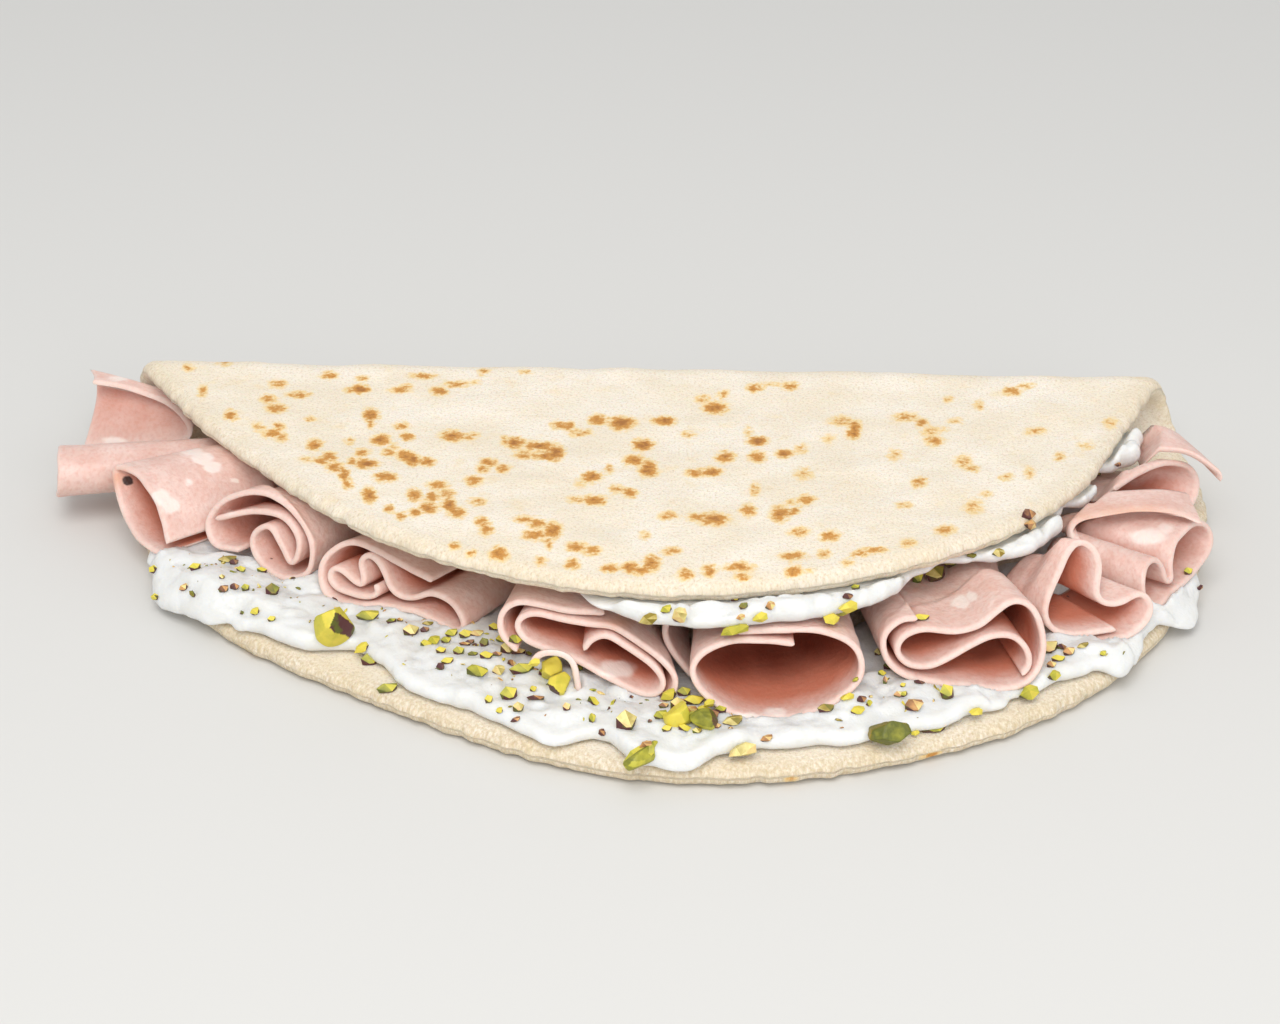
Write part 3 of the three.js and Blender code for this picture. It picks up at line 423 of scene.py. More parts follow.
# How a kernel is broken: number of flat cuts, how near its middle they go, how sharp they meet.
BREAKS = {"cuts": 15, "depth": (0.5, 0.7), "sharpness": 26.0}
# How much the facets of one kernel, and the bits of one colour, differ in tone.
TONE_SPREAD = {"kernel": (-0.04, 0.14), "bit": (-0.04, 0.04)}
# Over how much of a facet's turn a kernel's skin comes in.
SKIN_EDGE = 0.05
# How thickly the lower cream is sprinkled with the finest crumbs, by direction.
SPRINKLE = (
    (-180, 0.1), (-158, 0.8), (-130, 1.0), (-112, 0.8), (-98, 0.9), (-88, 0.35), (-74, 0.4), (-60, 0.8),
    (-48, 0.7), (-36, 0.25), (-25, 0.1), (0, 0),
)
# Swellings of the lower cream beside and between the slices: place in plan, width, height.
DOLLOPS = (
    (-104.0, -52.0, 14.0, 6.5),
    (-92.0, -60.0, 13.0, 5.8),
    (-60.0, -82.0, 12.0, 5.0),
    (-12.0, -108.0, 12.0, 5.0),
    (47.0, -97.0, 9.0, 6.5),
    (60.0, -104.0, 12.0, 5.2),
    (105.0, -78.0, 9.0, 5.0),
    (133.0, -45.0, 12.0, 7.0),
    (141.0, -34.0, 11.0, 8.5),
)
# The same on the upper cream's lip: place in plan, width, extra height.
UPPER_DOLLOPS = (
    (127.0, -14.0, 9.0, 3.4),
    (101.0, -63.0, 8.0, 1.4),
    (30.0, -92.0, 9.0, 1.0),
)

# Heights and distances of the two creams. A whip's middle is about how high its billows stand.
CREAM = {
    "floor": 5.8,
    "tallest": 9.0,
    "thinnest": 0.3,
    "under_slices": 1.9,
    "under_gap": 0.1,
    "filled_behind": 14.0,
    "filled_over": 6.0,
    "crest": 4.6,
    "dollop_whip": 0.25,
    "lowest_end": 0.3,
    "lowest_lip": 0.25,
    "whip_middle": 2.0,
    "lip_reach": 2.6,
    "lip_over_slices": 0.5,
    "lip_fade": 4.5,
    "lip_room": 8,
    "lip_slope": 0.3,
    "upper_lip_reach": 2.8,
    "upper_whip_middle": 1.9,
    "upper_gap": 0.1,
    "upper_back_y": 15.0,
    "upper_outside": (-0.8, 2.6),
    "upper_sink": 0.25,
    "thinnest_end": 0.15,
}
# First direction, last and step of the lower and the upper cream, in degrees.
LOWER_ARC = (-1.0, -179.0, -0.4)
UPPER_ARC = (21.0, 101.0, 0.3)
# Where the creams thin out towards their two ends: how many degrees from 0, and over how many.
LOWER_ENDS = ((1.0, 9.0), (168.0, 9.0))
UPPER_ENDS = ((21.0, 3.0), (99.0, 7.0))
# Which part of the lower cream is sprinkled: up to how far in front of the slices in full, over
# how much it fades, from how far behind their mouths, and from how far inside the lip.
SPRINKLED = {"full": 3.0, "fade": 7.0, "behind": (-9.0, 4.0), "inset": (1.0, 3.0)}
# The steepest the lower cream may be, along its edge and inwards, in millimetres to a step.
STEEPEST = (1.9, 1.2)
SLICE_LIP = SHEET / 2

# Layers of noise: height, width and seed of each.
LAYERS = {
    "rim_crumbs": ((0.55, 2.8, 4), (0.4, 1.3, 5)),
    "dough_swell": ((0.07, 17.0, 6),),
    "puffs": ((1.0, 11.0, 7), (0.5, 5.0, 8)),
    "grain": ((0.07, 1.9, 9),),
    "mark_across": ((2.2, 1.6, 1),),
    "mark_down": ((1.6, 1.6, 2), (0.8, 0.7, 3)),
    "slice_wave": ((1.0, 9.0, 1), (0.5, 4.0, 2)),
    "slice_edge": ((0.25, 5.0, 3),),
    "lower_lobes": ((1.3, 6.0, 4), (0.5, 2.6, 5)),
    "lower_lip": ((1.2, 7.0, 6),),
    "lower_ends": ((7.0, 13.0, 7),),
    "lower_whip": ((2.4, 11.0, 1), (1.5, 5.0, 2)),
    "lower_curds": ((0.3, 1.9, 3),),
    "upper_lobes": ((1.0, 6.0, 7), (0.5, 2.8, 8)),
    "upper_whip": ((2.4, 7.0, 9), (1.2, 3.2, 10)),
    "kernel": ((0.03, 0.35, 1),),
}
# Into how many steps the bread's mesh is cut.
BREAD_STEPS = {"rim": 8, "across": 204, "lower": 56, "flap": 132}
# Steps of a slice's mesh along its fold and into its depth, in millimetres, and round its edge.
FOLD_STEP = 0.8
DEPTH_STEP = 1.3
LIP_STEPS = 5
# Millimetres over which the painted highlight on a slice's cut rim fades.
RIM_HIGHLIGHT_FADE = 0.7

# Where on the way over the bend the drawn scorch marks come in and the seeded ones go out.
FLAP_SHARE = {"drawn": (0.6, 0.3), "seeded": (0.3, 0.4)}
# How often lines of values are smoothed, and how finely a fold's curve is worked out.
PASSES = {"fold": 3, "inside": 6, "lip": 4, "draped": 7}
CURVE_STEPS = 24
# Steps of a slice that runs on to the bend, as shares of its depth: first, last and number.
BACK_STEPS = (1.15, 2.0, 6)
# Where the painted shade of a slice's inside starts, from its mouth, and over how much it comes in.
FOLD_SHADE_FROM = (-0.5, 9.0)
# How far apart two sides or two slices lie in the noise that shapes and colours them.
APART = {"dough_sides": 40.0, "slices": 60.0, "slice_faces": 0.8}
# Degrees between points round the cream's lip, and its points inwards: first, last and number.
LIP_TURN = 15.0
INWARDS = ((0.5, 19.0, 32), (21.0, 42.0, 10))
# First number for the random draws of each kind of thing.
SEEDS = {"noise": 11, "hidden_marks": 5, "bits": 31, "kernels": 100, "chips": 200}
# A chip is the hull of some corners: their number, their distance from its middle, its shape,
# how squarely a facet faces its skin's side, and how much the facets differ in shade.
CHIPS = {
    "kinds": 8,
    "corners": 15,
    "distance": (0.8, 1.0),
    "length": 1.1,
    "width": (0.55, 0.8),
    "height": (0.6, 0.85),
    "skin": 0.6,
    "shades": (-0.1, 0.08),
}
# The scattered crumbs: how rare the large ones are, their shape, how far bits and crumbs lean.
CRUMBS = {"rarity": 2.2, "shape": (1.0, 0.75, 0.6), "lean": 0.5}

# Fine noise in the materials: clouds to a millimetre of the dough or slice, or to a metre of the
# cream or kernels; levels of detail; roughness.
GRAINS = {
    "dough_cloud": (0.06, 4.0, 0.5),
    "flush": (0.16, 3.0, 0.5),
    "flour": (1.2, 6.0, 0.65),
    "grit": (1.5, 4.0, 0.7),
    "fleck": (0.7, 4.0, 0.65),
    "crust": (0.45, 4.0, 0.5),
    "meat_cloud": (0.14, 4.0, 0.55),
    "mince": (0.9, 4.0, 0.6),
    "lumps": (0.11, 1.0, 0.4),
    "dimples": (0.5, 3.0, 0.5),
    "fluff": (260.0, 4.0, 0.5),
    "curd": (520.0, 3.0, 0.5),
    "kernel": (420.0, 3.0, 0.5),
}
# Between which values of its noise or mask each colour comes in, and how strong it gets.
TINTS = {
    "dough_pale": (0.35, 0.7, 1.0),
    "flush": (0.56, 0.8, 0.3),
    "border": (0.25, 0.7, 1.0),
    "grit": (0.48, 0.7, 0.6),
    "golden": (0.04, 0.26, 0.85),
    "toast": (0.2, 0.48, 1.0),
    "char": (0.46, 0.85, 0.8),
    "meat_pale": (0.3, 0.72, 1.0),
    "mince": (0.42, 0.68, 0.35),
    "lumps": (0.7, 0.76, 0.6),
    "fat": (0.25, 0.6, 0.8),
    "pepper": (0.3, 0.6, 1.0),
    "cream_warm": (0.3, 0.7, 1.0),
    "kernel_skin": (0.45, 0.65, 1.0),
}
# How much the noise frays a scorch mark: times its darkness, and at most.
FRAY = (3.6, 1.2)
# Bumps that the materials add: metres high, strength.
BUMPS = {
    "crust": (0.0007, 0.4),
    "flour": (0.0006, 0.6),
    "mince": (0.0003, 0.3),
    "dimples": (0.0006, 0.35),
    "fluff": (0.001, 0.5),
    "curd": (0.0004, 0.3),
    "kernel": (0.0004, 0.5),
}
# How light goes through the food: share, depth in metres, and how far red, green and blue go.
GLOWS = {
    "dough": (0.12, 0.002, (1.0, 0.55, 0.25)),
    "meat": (0.25, 0.002, (1.0, 0.4, 0.28)),
    "cream": (0.6, 0.003, (1.0, 0.9, 0.75)),
    "kernel": (0.15, 0.001, (0.8, 1.0, 0.3)),
}
# How rough the surfaces are: from the smoothest places to the roughest.
ROUGH = {"dough": (0.62, 0.95), "meat": (0.3, 0.48), "cream": 0.32, "kernel": 0.5, "floor": 0.75}

LIGHTS = {
    "key light": dict(place=(-0.1, -0.6, 1.1), target=(0.0, 0.0, 0.0), width=0.9, energy=8.5,
                      colour=(1.0, 0.985, 0.965)),
    "fill light": dict(place=(0.4, -1.1, 0.55), target=(0.0, 0.0, 0.02), width=0.8, energy=3.6,
                       colour=(1.0, 1.0, 1.0)),
}
ROOM = {"Color": (0.98, 0.99, 1.0, 1.0), "Strength": 0.69}
FLOOR_HALF = 3.0


# Shapes worked out from the drawing


def smooth(part):
    part = np.clip(part, 0.0, 1.0)
    return part * part * (3.0 - 2.0 * part)


def eased(value, start, width):
    """0 up to the start, 1 past the width after it, eased between them."""
    return smooth((value - start) / width)


def value_at(table, angle_deg):
    """Value at each angle from a table of angle and value, eased from one entry to the next."""
    at, value = np.array(sorted(table), float).T
    after = np.clip(np.searchsorted(at, angle_deg), 1, len(at) - 1)
    part = (angle_deg - at[after - 1]) / (at[after] - at[after - 1])
    return value[after - 1] + (value[after] - value[after - 1]) * smooth(part)


LATTICE = np.random.default_rng(SEEDS["noise"]).uniform(-1.0, 1.0, (32, 32, 32))


def noise(points, size, seed=0):
    """Smooth noise from -1 to 1 whose bumps are about as wide as the given size."""
    scaled = np.asarray(points) / size + 7.31 * seed
    cell = np.floor(scaled).astype(int)
    part = smooth(scaled - cell)
    total = np.zeros(scaled.shape[:-1])
    for corner in np.ndindex(2, 2, 2):
        weight = np.prod(np.where(corner, part, 1.0 - part), axis=-1)
        x, y, z = np.moveaxis((cell + corner) % len(LATTICE), -1, 0)
        total += weight * LATTICE[x, y, z]
    return total


def billows(points, size, seed=0):
    """Rounded swellings from 0 to 1 that meet in creases."""
    return np.sqrt(np.abs(noise(points, size, seed)) + 0.02)


def layered(points, name, form=noise):
    """The sum of a named set of layers of noise, or of another form of it."""
    return sum(height * form(points, width, seed) for height, width, seed in LAYERS[name])


def stacked(*parts):
    return np.stack(np.broadcast_arrays(*parts), axis=-1)


BEND_RADIUS = (BREAD["fold_height"] - BREAD["thickness"]) / 2
BEND_REACH = math.pi * BEND_RADIUS / 2
BEND_Z = BREAD["thickness"] / 2 + BEND_RADIUS
TURN = math.radians(BREAD["turn_deg"])


def rim_radius(angle_deg):
    """The round's radius in each direction."""
    radius = np.full(np.shape(angle_deg), BREAD["radius"])
    for size, at, width in ROUND_FAULTS:
        away = (angle_deg - at + 540.0) % 360.0 - 180.0
        radius = radius + size * np.exp(-((away / width) ** 2))
    return radius


def turned(x, y):
    return x * math.cos(TURN) - y * math.sin(TURN), x * math.sin(TURN) + y * math.cos(TURN)


def unturned(x, y):
    return x * math.cos(TURN) + y * math.sin(TURN), y * math.cos(TURN) - x * math.sin(TURN)


def flap_rise(across, forward):
    """How much higher the flap stands than at the bend, so far across and forward of it."""
    side = 1.0 - BREAD["flap_sag"] * (across / BREAD["radius"]) ** 2
    return BREAD["flap_rise"] * smooth(forward / BREAD["flap_reach"]) * side


def folded(across, along, out):
    """Places on the dough: across the fold, along the dough from the fold's middle, and how
    far out of the dough's mid surface."""
    angle = np.clip(along, -BEND_REACH, BEND_REACH) / BEND_RADIUS
    forward = np.maximum(along - BEND_REACH, 0.0)
    behind = np.minimum(along + BEND_REACH, 0.0)
    y = BREAD["fold_y"] + (BEND_RADIUS + out) * np.cos(angle) - forward + behind
    z = BEND_Z + (BEND_RADIUS + out) * np.sin(angle) + flap_rise(across, forward)
    return stacked(*turned(BREAD["centre_x"] + across, y), z)


def flap_under(x, y):
    """Height of the flap's underside over a place in plan."""
    px, py = unturned(x, y)
    forward = BREAD["fold_y"] - py
    inside = np.sqrt(np.maximum(1.0, BEND_RADIUS**2 - np.minimum(forward, 0.0) ** 2))
    arch = np.where(forward < 0, BEND_RADIUS - inside, 0.0)
    rise = flap_rise(px - BREAD["centre_x"], np.maximum(forward, 0.0))
    return BEND_Z + BEND_RADIUS - BREAD["thickness"] / 2 - arch + rise


def beyond_flap(x, y):
    """How far a place in plan lies beyond the flap's rim, and how far the cream does there."""
    px, py = unturned(x, y)
    across = px - BREAD["centre_x"]
    forward = BREAD["fold_y"] - py + BEND_REACH + BREAD["fold_behind_middle"]
    angle = np.degrees(np.arctan2(forward, across))
    lip = np.maximum(0.0, value_at(UPPER_EDGE, angle))
    return np.hypot(across, forward) - rim_radius(angle), lip


def ceiling(x, y):
    """Height that is free for the slices over a place in plan."""
    flap, lip = beyond_flap(x, y)
    creamed = eased(x, UPPER_FROM_X[0], UPPER_FROM_X[1] - UPPER_FROM_X[0])
    outside = np.maximum(0.0, flap - lip * creamed)
    return flap_under(x, y) - GAP - (UPPER_CREAM + GAP) * creamed + 1.5 * outside


def plan_place(angle_deg, radius, side):
    """Place in plan from a direction and a distance from the middle of the round. Side is 1
    on the lower half, and -1 on the flap, where the round is seen from below."""
    middle = BREAD["fold_y"] + BEND_REACH - side * BREAD["fold_behind_middle"]
    angle = np.radians(angle_deg)
    return turned(
        BREAD["centre_x"] + radius * np.cos(angle), middle + side * radius * np.sin(angle)
    )


def to_pixels(points):
    """Columns and rows of the frame in which the camera sees places of the drawing."""
    pitch = math.radians(CAMERA["pitch_deg"])
    away = points - np.array(CAMERA["place"])
    depth = away[..., 1] * math.cos(pitch) - away[..., 2] * math.sin(pitch)
    height = away[..., 1] * math.sin(pitch) + away[..., 2] * math.cos(pitch)
    scale = CAMERA["focal_px"] / depth
    column, row = CAMERA["middle_px"]
    return column + away[..., 0] * scale, row - height * scale


def painted(points, marks):
    """How strongly marks that the camera sees at given pixels colour these points."""
    column, row = to_pixels(points)
    column = column + layered(points, "mark_across")
    row = row + layered(points, "mark_down")
    strength = np.zeros(column.shape)
    for mark_column, mark_row, half_length, half_height, dark in marks:
        out = ((column - mark_column) / half_length) ** 2 + ((row - mark_row) / half_height) ** 2
        strength = np.maximum(strength, dark * np.exp(-MARK_FADE * out))
    return strength


# Meshes


def slab(upper, lower):
    """A closed sheet from two grids of points that share their border."""
    columns, rows = upper.shape[:2]
    up = np.arange(columns * rows).reshape(columns, rows)
    down = up.copy()
    inner = (slice(1, -1), slice(1, -1))
    down[inner] = columns * rows + np.arange(up[inner].size).reshape(up[inner].shape)
    points = np.vstack([upper.reshape(-1, 3), lower[inner].reshape(-1, 3)])

    def quads(index):
        corners = index[:-1, :-1], index[1:, :-1], index[1:, 1:], index[:-1, 1:]
        return np.stack(corners, axis=-1).reshape(-1, 4)

    return points, np.vstack([quads(up), quads(down)[:, ::-1]])


def mound(x, y, at_x, at_y, width):
    """1 at the middle of a swelling, 0 from its width on."""
    return np.clip(1.0 - ((x - at_x) ** 2 + (y - at_y) ** 2) / width**2, 0.0, 1.0)


def slab_values(upper, lower):
    """Values for the points of a slab from the two grids of values."""
    return np.concatenate([
        upper.reshape(-1, *upper.shape[2:]),
        lower[1:-1, 1:-1].reshape(-1, *lower.shape[2:]),
    ])


def turned_outwards(points, faces):
    """The same faces, all turned round where they enclose less than nothing."""
    a, b, c = (points[faces[:, k]] for k in (0, 1, 2))
    d = points[faces[:, -1]]
    volume = np.sum(np.cross(c - a, d - b) * (a + b + c + d))
    return faces if volume > 0 else faces[:, ::-1]


def store(mesh, label, values, domain="POINT"):
    """Keeps a number or a vector for each point or face of a mesh."""
    values = np.asarray(values, np.float32)
    kind, key = ("FLOAT", "value") if values.ndim == 1 else ("FLOAT_VECTOR", "vector")
    mesh.attributes.new(label, kind, domain).data.foreach_set(key, values.ravel())


def mesh_of(name, points, faces, attributes=None):
    """A smooth mesh in metres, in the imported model's frame, from millimetres of the drawing."""
    mesh = bpy.data.meshes.new(name)
    mesh.from_pydata(((points + SHIFT) * MM).tolist(), [], turned_outwards(points, faces).tolist())
    for label, values in (attributes or {}).items():
        store(mesh, label, values)
    mesh.shade_smooth()
    mesh.update()
    return mesh


def add_piece(name, mesh, look, node):
    """Puts a finished piece in the scene: its material, its body and the node it stands for."""
    piece = bpy.data.objects.new(name, mesh)
    bpy.context.scene.collection.objects.link(piece)
    mesh.materials.clear()
    mesh.materials.append(look)
    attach(piece, "root")
    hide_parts(node)


# Materials


def linear(red, green, blue):
    """Colour from three values between 0 and 255 as a screen shows them."""
    shares = [value / 255.0 for value in (red, green, blue)]
    return tuple(s / 12.92 if s <= 0.04045 else ((s + 0.055) / 1.055) ** 2.4 for s in shares)


def add_node(tree, kind, inputs=None, **settings):
    """A new node with its settings, and its inputs linked or set."""
    made = tree.nodes.new(kind)
    for key, value in settings.items():
        setattr(made, key, value)
    for key, value in (inputs or {}).items():
        feed(tree, made.inputs[key], value)
    return made


def feed(tree, socket, value):
    """Links the value to the socket if it comes from another node, or else sets it there."""
    if isinstance(value, bpy.types.NodeSocket):
        tree.links.new(value, socket)
    elif socket.type == "RGBA":
        socket.default_value = (*value[:3], 1.0)
    else:
        socket.default_value = value


class Look:
    """A material and short ways to add nodes to it. Colours go by the names of their properties."""

    def __init__(self, name, colours=None):
        self.colours = colours
        self.material = bpy.data.materials.new(name)
        self.material.use_nodes = True
        self.tree = self.material.node_tree
        self.add = partial(add_node, self.tree)
        self.shader = self.tree.nodes["Principled BSDF"]
        self.place = self.add("ShaderNodeTexCoord").outputs["Object"]

    def finish(self, glow=None, **inputs):
        """The material, once its shader's inputs are linked or set."""
        if glow:
            inputs.update(zip(("Subsurface_Weight", "Subsurface_Scale", "Subsurface_Radius"), GLOWS[glow]))
        for key, value in inputs.items():
            feed(self.tree, self.shader.inputs[key.replace("_", " ")], value)
        return self.material

    def value(self, name):
        return self.add("ShaderNodeAttribute", attribute_name=name).outputs["Fac"]

    def vector(self, name):
        return self.add("ShaderNodeAttribute", attribute_name=name).outputs["Vector"]

    def math(self, operation, a, b):
        return self.add("ShaderNodeMath", {0: a, 1: b}, operation=operation).outputs[0]

    def fine(self, where, grain):
        """Cloudy noise from 0 to 1, of one of the named grains."""
        settings = {"Vector": where, **dict(zip(("Scale", "Detail", "Roughness"), GRAINS[grain]))}
        return self.add("ShaderNodeTexNoise", settings).outputs["Fac"]

    def between(self, value, low, high):
        """0 at the low value, 1 at the high one, eased between them."""
        settings = {"Value": value, "From Min": low, "From Max": high}
        made = self.add("ShaderNodeMapRange", settings, interpolation_type="SMOOTHSTEP")
        return made.outputs["Result"]

    def spread(self, value, low, high):
        """The low value at 0 and the high one at 1."""
        settings = {"Value": value, "To Min": low, "To Max": high}
        return self.add("ShaderNodeMapRange", settings).outputs["Result"]

    def colour(self, name):
        return tuple(getattr(self.colours, name))

    def mixed(self, share, *both):
        """The first of two colours where the share is 0, and the second where it is 1."""
        made = self.add("ShaderNodeMix", {"Factor": share}, data_type="RGBA")
        for socket, value in zip([s for s in made.inputs if s.type == "RGBA"], both):
            feed(self.tree, socket, self.colour(value) if isinstance(value, str) else value)
        return next(s for s in made.outputs if s.type == "RGBA")

    def tinted(self, base, colour, mask, most=1.0):
        """The base with a colour over it where the mask says, at most that strongly."""
        share = mask if most == 1.0 else self.math("MULTIPLY", mask, most)
        return self.mixed(share, base, colour)

    def toned(self, base, colour, value, tint):
        """The base with a colour over it where the value lies past the named tint's."""
        low, high, most = TINTS[tint]
        return self.tinted(base, colour, self.between(value, low, high), most)

    def ramp(self, value, stops):
        """The colour that the value has on a row of colours and their places from 0 to 1."""
        made = self.add("ShaderNodeValToRGB", {"Fac": value})
        stop_list = made.color_ramp.elements
        while len(stop_list) < len(stops):
            stop_list.new(1.0)
        for stop, (at, colour) in zip(stop_list, stops):
            stop.position = at
            stop.color = (*self.colour(colour), 1.0)
        return made.outputs["Color"]

    def bump(self, height, name, under=None):
        distance, strength = BUMPS[name]
        settings = {"Height": height, "Distance": distance, "Strength": strength}
        if under is not None:
            settings["Normal"] = under
        return self.add("ShaderNodeBump", settings).outputs["Normal"]


# The bread


def bread_mesh(sizes):
    """The folded round: its outer face is the flap's top, the bend and the lower half's
    underside, and its inner face lies against the filling."""
    rim_share = BREAD["rim_round"] / BREAD["radius"]
    rim = 1.0 - rim_share * (1.0 - np.cos(np.linspace(0.0, math.pi / 2, BREAD_STEPS["rim"])[:-1]))
    inner = rim[-1] - rim_share / 4
    across = np.concatenate([-rim, np.linspace(-inner, inner, BREAD_STEPS["across"]), rim[::-1]])
    lower = np.linspace(-inner, 0.0, BREAD_STEPS["lower"], endpoint=False)
    flap = np.linspace(0.0, inner, BREAD_STEPS["flap"])
    along = np.concatenate([-rim, lower, flap, rim[::-1]])
    p, q = np.meshgrid(across, along, indexing="ij")
    u = p * np.sqrt(1.0 - q * q / 2)
    v = q * np.sqrt(1.0 - p * p / 2)
    radius = rim_radius(np.degrees(np.arctan2(v, u)))
    reach = np.hypot(u, v)
    flat = stacked(radius * u, radius * v, 0.0 * u)
    radius = radius + layered(flat, "rim_crumbs") * eased(reach, *BREAD["crumbly"])
    inside = np.clip(radius * (1.0 - reach) / BREAD["rim_round"], 0.0, 1.0)
    rounding = np.sqrt(1.0 - (1.0 - inside) ** 2)
    swell = 1.0 + layered(flat, "dough_swell")
    settled = v * radius - BREAD["fold_behind_middle"]
    on_flap = eased(settled, -BEND_REACH, 2 * BEND_REACH)
    thicker = np.minimum(swell, 1.0 + BREAD["flap_swell"] * on_flap)
    half = BREAD["thickness"] / 2 * rounding * thicker
    faces, doughs = [], []
    for side in (1.0, -1.0):
        seat = flat + np.array([0.0, 0.0, APART["dough_sides"] * side])
        puffs = sizes.puffs / MM * layered(seat, "puffs")
        raised = (puffs + layered(seat, "grain")) * rounding
        resting = -BREAD["flattened"] * np.abs(raised)
        out = side * half + side * np.where(side > 0, resting + (raised - resting) * on_flap, resting)
        faces.append(folded(radius * u, settled, out))
        doughs.append(seat)
    points, quads = slab(*faces)
    dough = slab_values(*doughs)
    outside = slab_values(on_flap, np.zeros_like(on_flap))
    scorches = [(*mark, dark) for dark, marks in SCORCHES.items() for mark in marks]
    seen = painted(points, scorches) * eased(outside, *FLAP_SHARE["drawn"])
    unseen = 1.0 - eased(on_flap, *FLAP_SHARE["seeded"])
    hidden = random_marks(dough) * slab_values(unseen, 0.0 * on_flap)
    border = smooth(1.0 - radius * (1.0 - reach) / BREAD["border"]) * (1.0 - 0.5 * on_flap)
    attributes = {
        "scorch": np.maximum(seen, hidden),
        "dough": dough,
        "border": slab_values(border, border),
    }
    return mesh_of("bread", points, quads, attributes)


def random_marks(dough):
    """Scorch marks for the sides that the camera doesn't see, at seeded places."""
    draw = np.random.default_rng(SEEDS["hidden_marks"])
    strength = np.zeros(len(dough))
    for _ in range(HIDDEN_MARKS["count"]):
        middle = draw.uniform(-BREAD["radius"], BREAD["radius"], 2)
        half = draw.uniform(*HIDDEN_MARKS["half"], 2)
        dark = draw.uniform(*HIDDEN_MARKS["dark"])
        out = (((dough[:, :2] - middle) / half) ** 2).sum(axis=1)
        strength = np.maximum(strength, dark * np.exp(-MARK_FADE * out))
    return strength * (dough[:, 2] > 0)


def bread_look(colours):
    look = Look("Baked dough", colours)
    dough = look.vector("dough")
    base = look.toned("dough", "dough_pale", look.fine(dough, "dough_cloud"), "dough_pale")
    base = look.toned(base, "dough_golden", look.fine(dough, "flush"), "flush")
    flour = look.fine(dough, "flour")
    low, high, _ = TINTS["border"]
    sandy = look.math("MULTIPLY", look.value("border"), look.between(flour, low, high))
    base = look.tinted(base, "dough_border", sandy)
    base = look.toned(base, "dough_grit", look.fine(dough, "grit"), "grit")
    scorch = look.value("scorch")
    fleck = look.math("SUBTRACT", look.fine(dough, "fleck"), 0.5)
    times, most = FRAY
    near = look.math("MINIMUM", look.math("MULTIPLY", scorch, times), most)
    marked = look.math("ADD", scorch, look.math("MULTIPLY", fleck, near))
    for colour, tint in (("dough_golden", "golden"), ("toast", "toast"), ("char", "char")):
        base = look.toned(base, colour, marked, tint)
    crust = look.bump(look.fine(dough, "crust"), "crust")
    return look.finish(
        "dough",
        Base_Color=base,
        Roughness=look.spread(flour, *ROUGH["dough"]),
        Normal=look.bump(flour, "flour", crust),
    )


# The slices


def fold_line(drawn, spacing):
    """A smooth line through the drawn points, cut into steps of about the given length."""
    drawn = np.array(drawn, float)
    guides = np.vstack([2 * drawn[0] - drawn[1], drawn, 2 * drawn[-1] - drawn[-2]])
    part = np.linspace(0.0, 1.0, CURVE_STEPS, endpoint=False)[:, None]
    pieces = []
    for k in range(len(guides) - 3):
        a, b, c, d = guides[k:k + 4]
        before, here, after = (max(math.dist(*pair), 1e-4) ** 0.5 for pair in ((a, b), (b, c), (c, d)))
        leave = ((b - a) / before - (c - a) / (before + here) + (c - b) / here) * here
        arrive = ((c - b) / here - (d - b) / (here + after) + (d - c) / after) * here
        bent = (3 * (c - b) - 2 * leave - arrive) * part**2
        pieces.append(b + leave * part + bent + (2 * (b - c) + leave + arrive) * part**3)
    line = np.vstack([*pieces, drawn[-1:]])
    walked = np.concatenate([[0.0], np.cumsum(np.hypot(*np.diff(line, axis=0).T))])
    at = lip_steps(walked[-1], spacing)
    line = np.column_stack([np.interp(at, walked, line[:, k]) for k in (0, 1)])
    for _ in range(PASSES["fold"]):
        line[1:-1] = (line[:-2] + 2 * line[1:-1] + line[2:]) / 4
    return at, line


def lip_steps(length, spacing):
    """Steps along a sheet, close together at both its ends, where its edges are rounded."""
    lip = SLICE_LIP * (1.0 - np.cos(np.linspace(0.0, math.pi / 2, LIP_STEPS)))
    count = max(2, math.ceil((length - 4 * SLICE_LIP) / spacing))
    middle = np.linspace(2 * SLICE_LIP, length - 2 * SLICE_LIP, count + 1)
    return np.concatenate([lip, middle, length - lip[::-1]])


def edge_share(at, length):
    """How thick a sheet is near its ends, as a share of its full thickness."""
    inside = np.clip(np.minimum(at, length - at) / SLICE_LIP, 0.0, 1.0)
    return np.sqrt(1.0 - (1.0 - inside) ** 2)


def facing_the_fold(line, face):
    """For each point of a fold line, 1 where one of its faces looks at the same line again."""
    along = np.gradient(line, axis=0)
    ahead = stacked(-along[:, 1], along[:, 0]) * face
    ahead /= np.linalg.norm(ahead, axis=1)[:, None]
    between = line[None, :] - line[:, None]
    beside = ahead[:, None, 0] * between[..., 1] - ahead[:, None, 1] * between[..., 0]
    forward = np.sum(ahead[:, None] * between, axis=-1)
    met = ((beside[:, :-1] * beside[:, 1:] < 0) & (forward[:, :-1] > SHEET)).any(axis=1)
    met = met.astype(float)
    for _ in range(PASSES["inside"]):
        met[1:-1] = (met[:-2] + 2 * met[1:-1] + met[2:]) / 4
    return met


def pile_top(shape):
    """The highest point of the slices that stand close to this one's foot."""
    tops = []
    for other in SLICES.values():
        if math.dist(other["foot"][:2], shape["foot"][:2]) < PILE_REACH:
            highest = max(height for _, height in other["fold"]) + SHEET / 2
            tops.append(other["foot"][2] + math.cos(math.radians(other["lean"])) * highest)
    return max(tops)


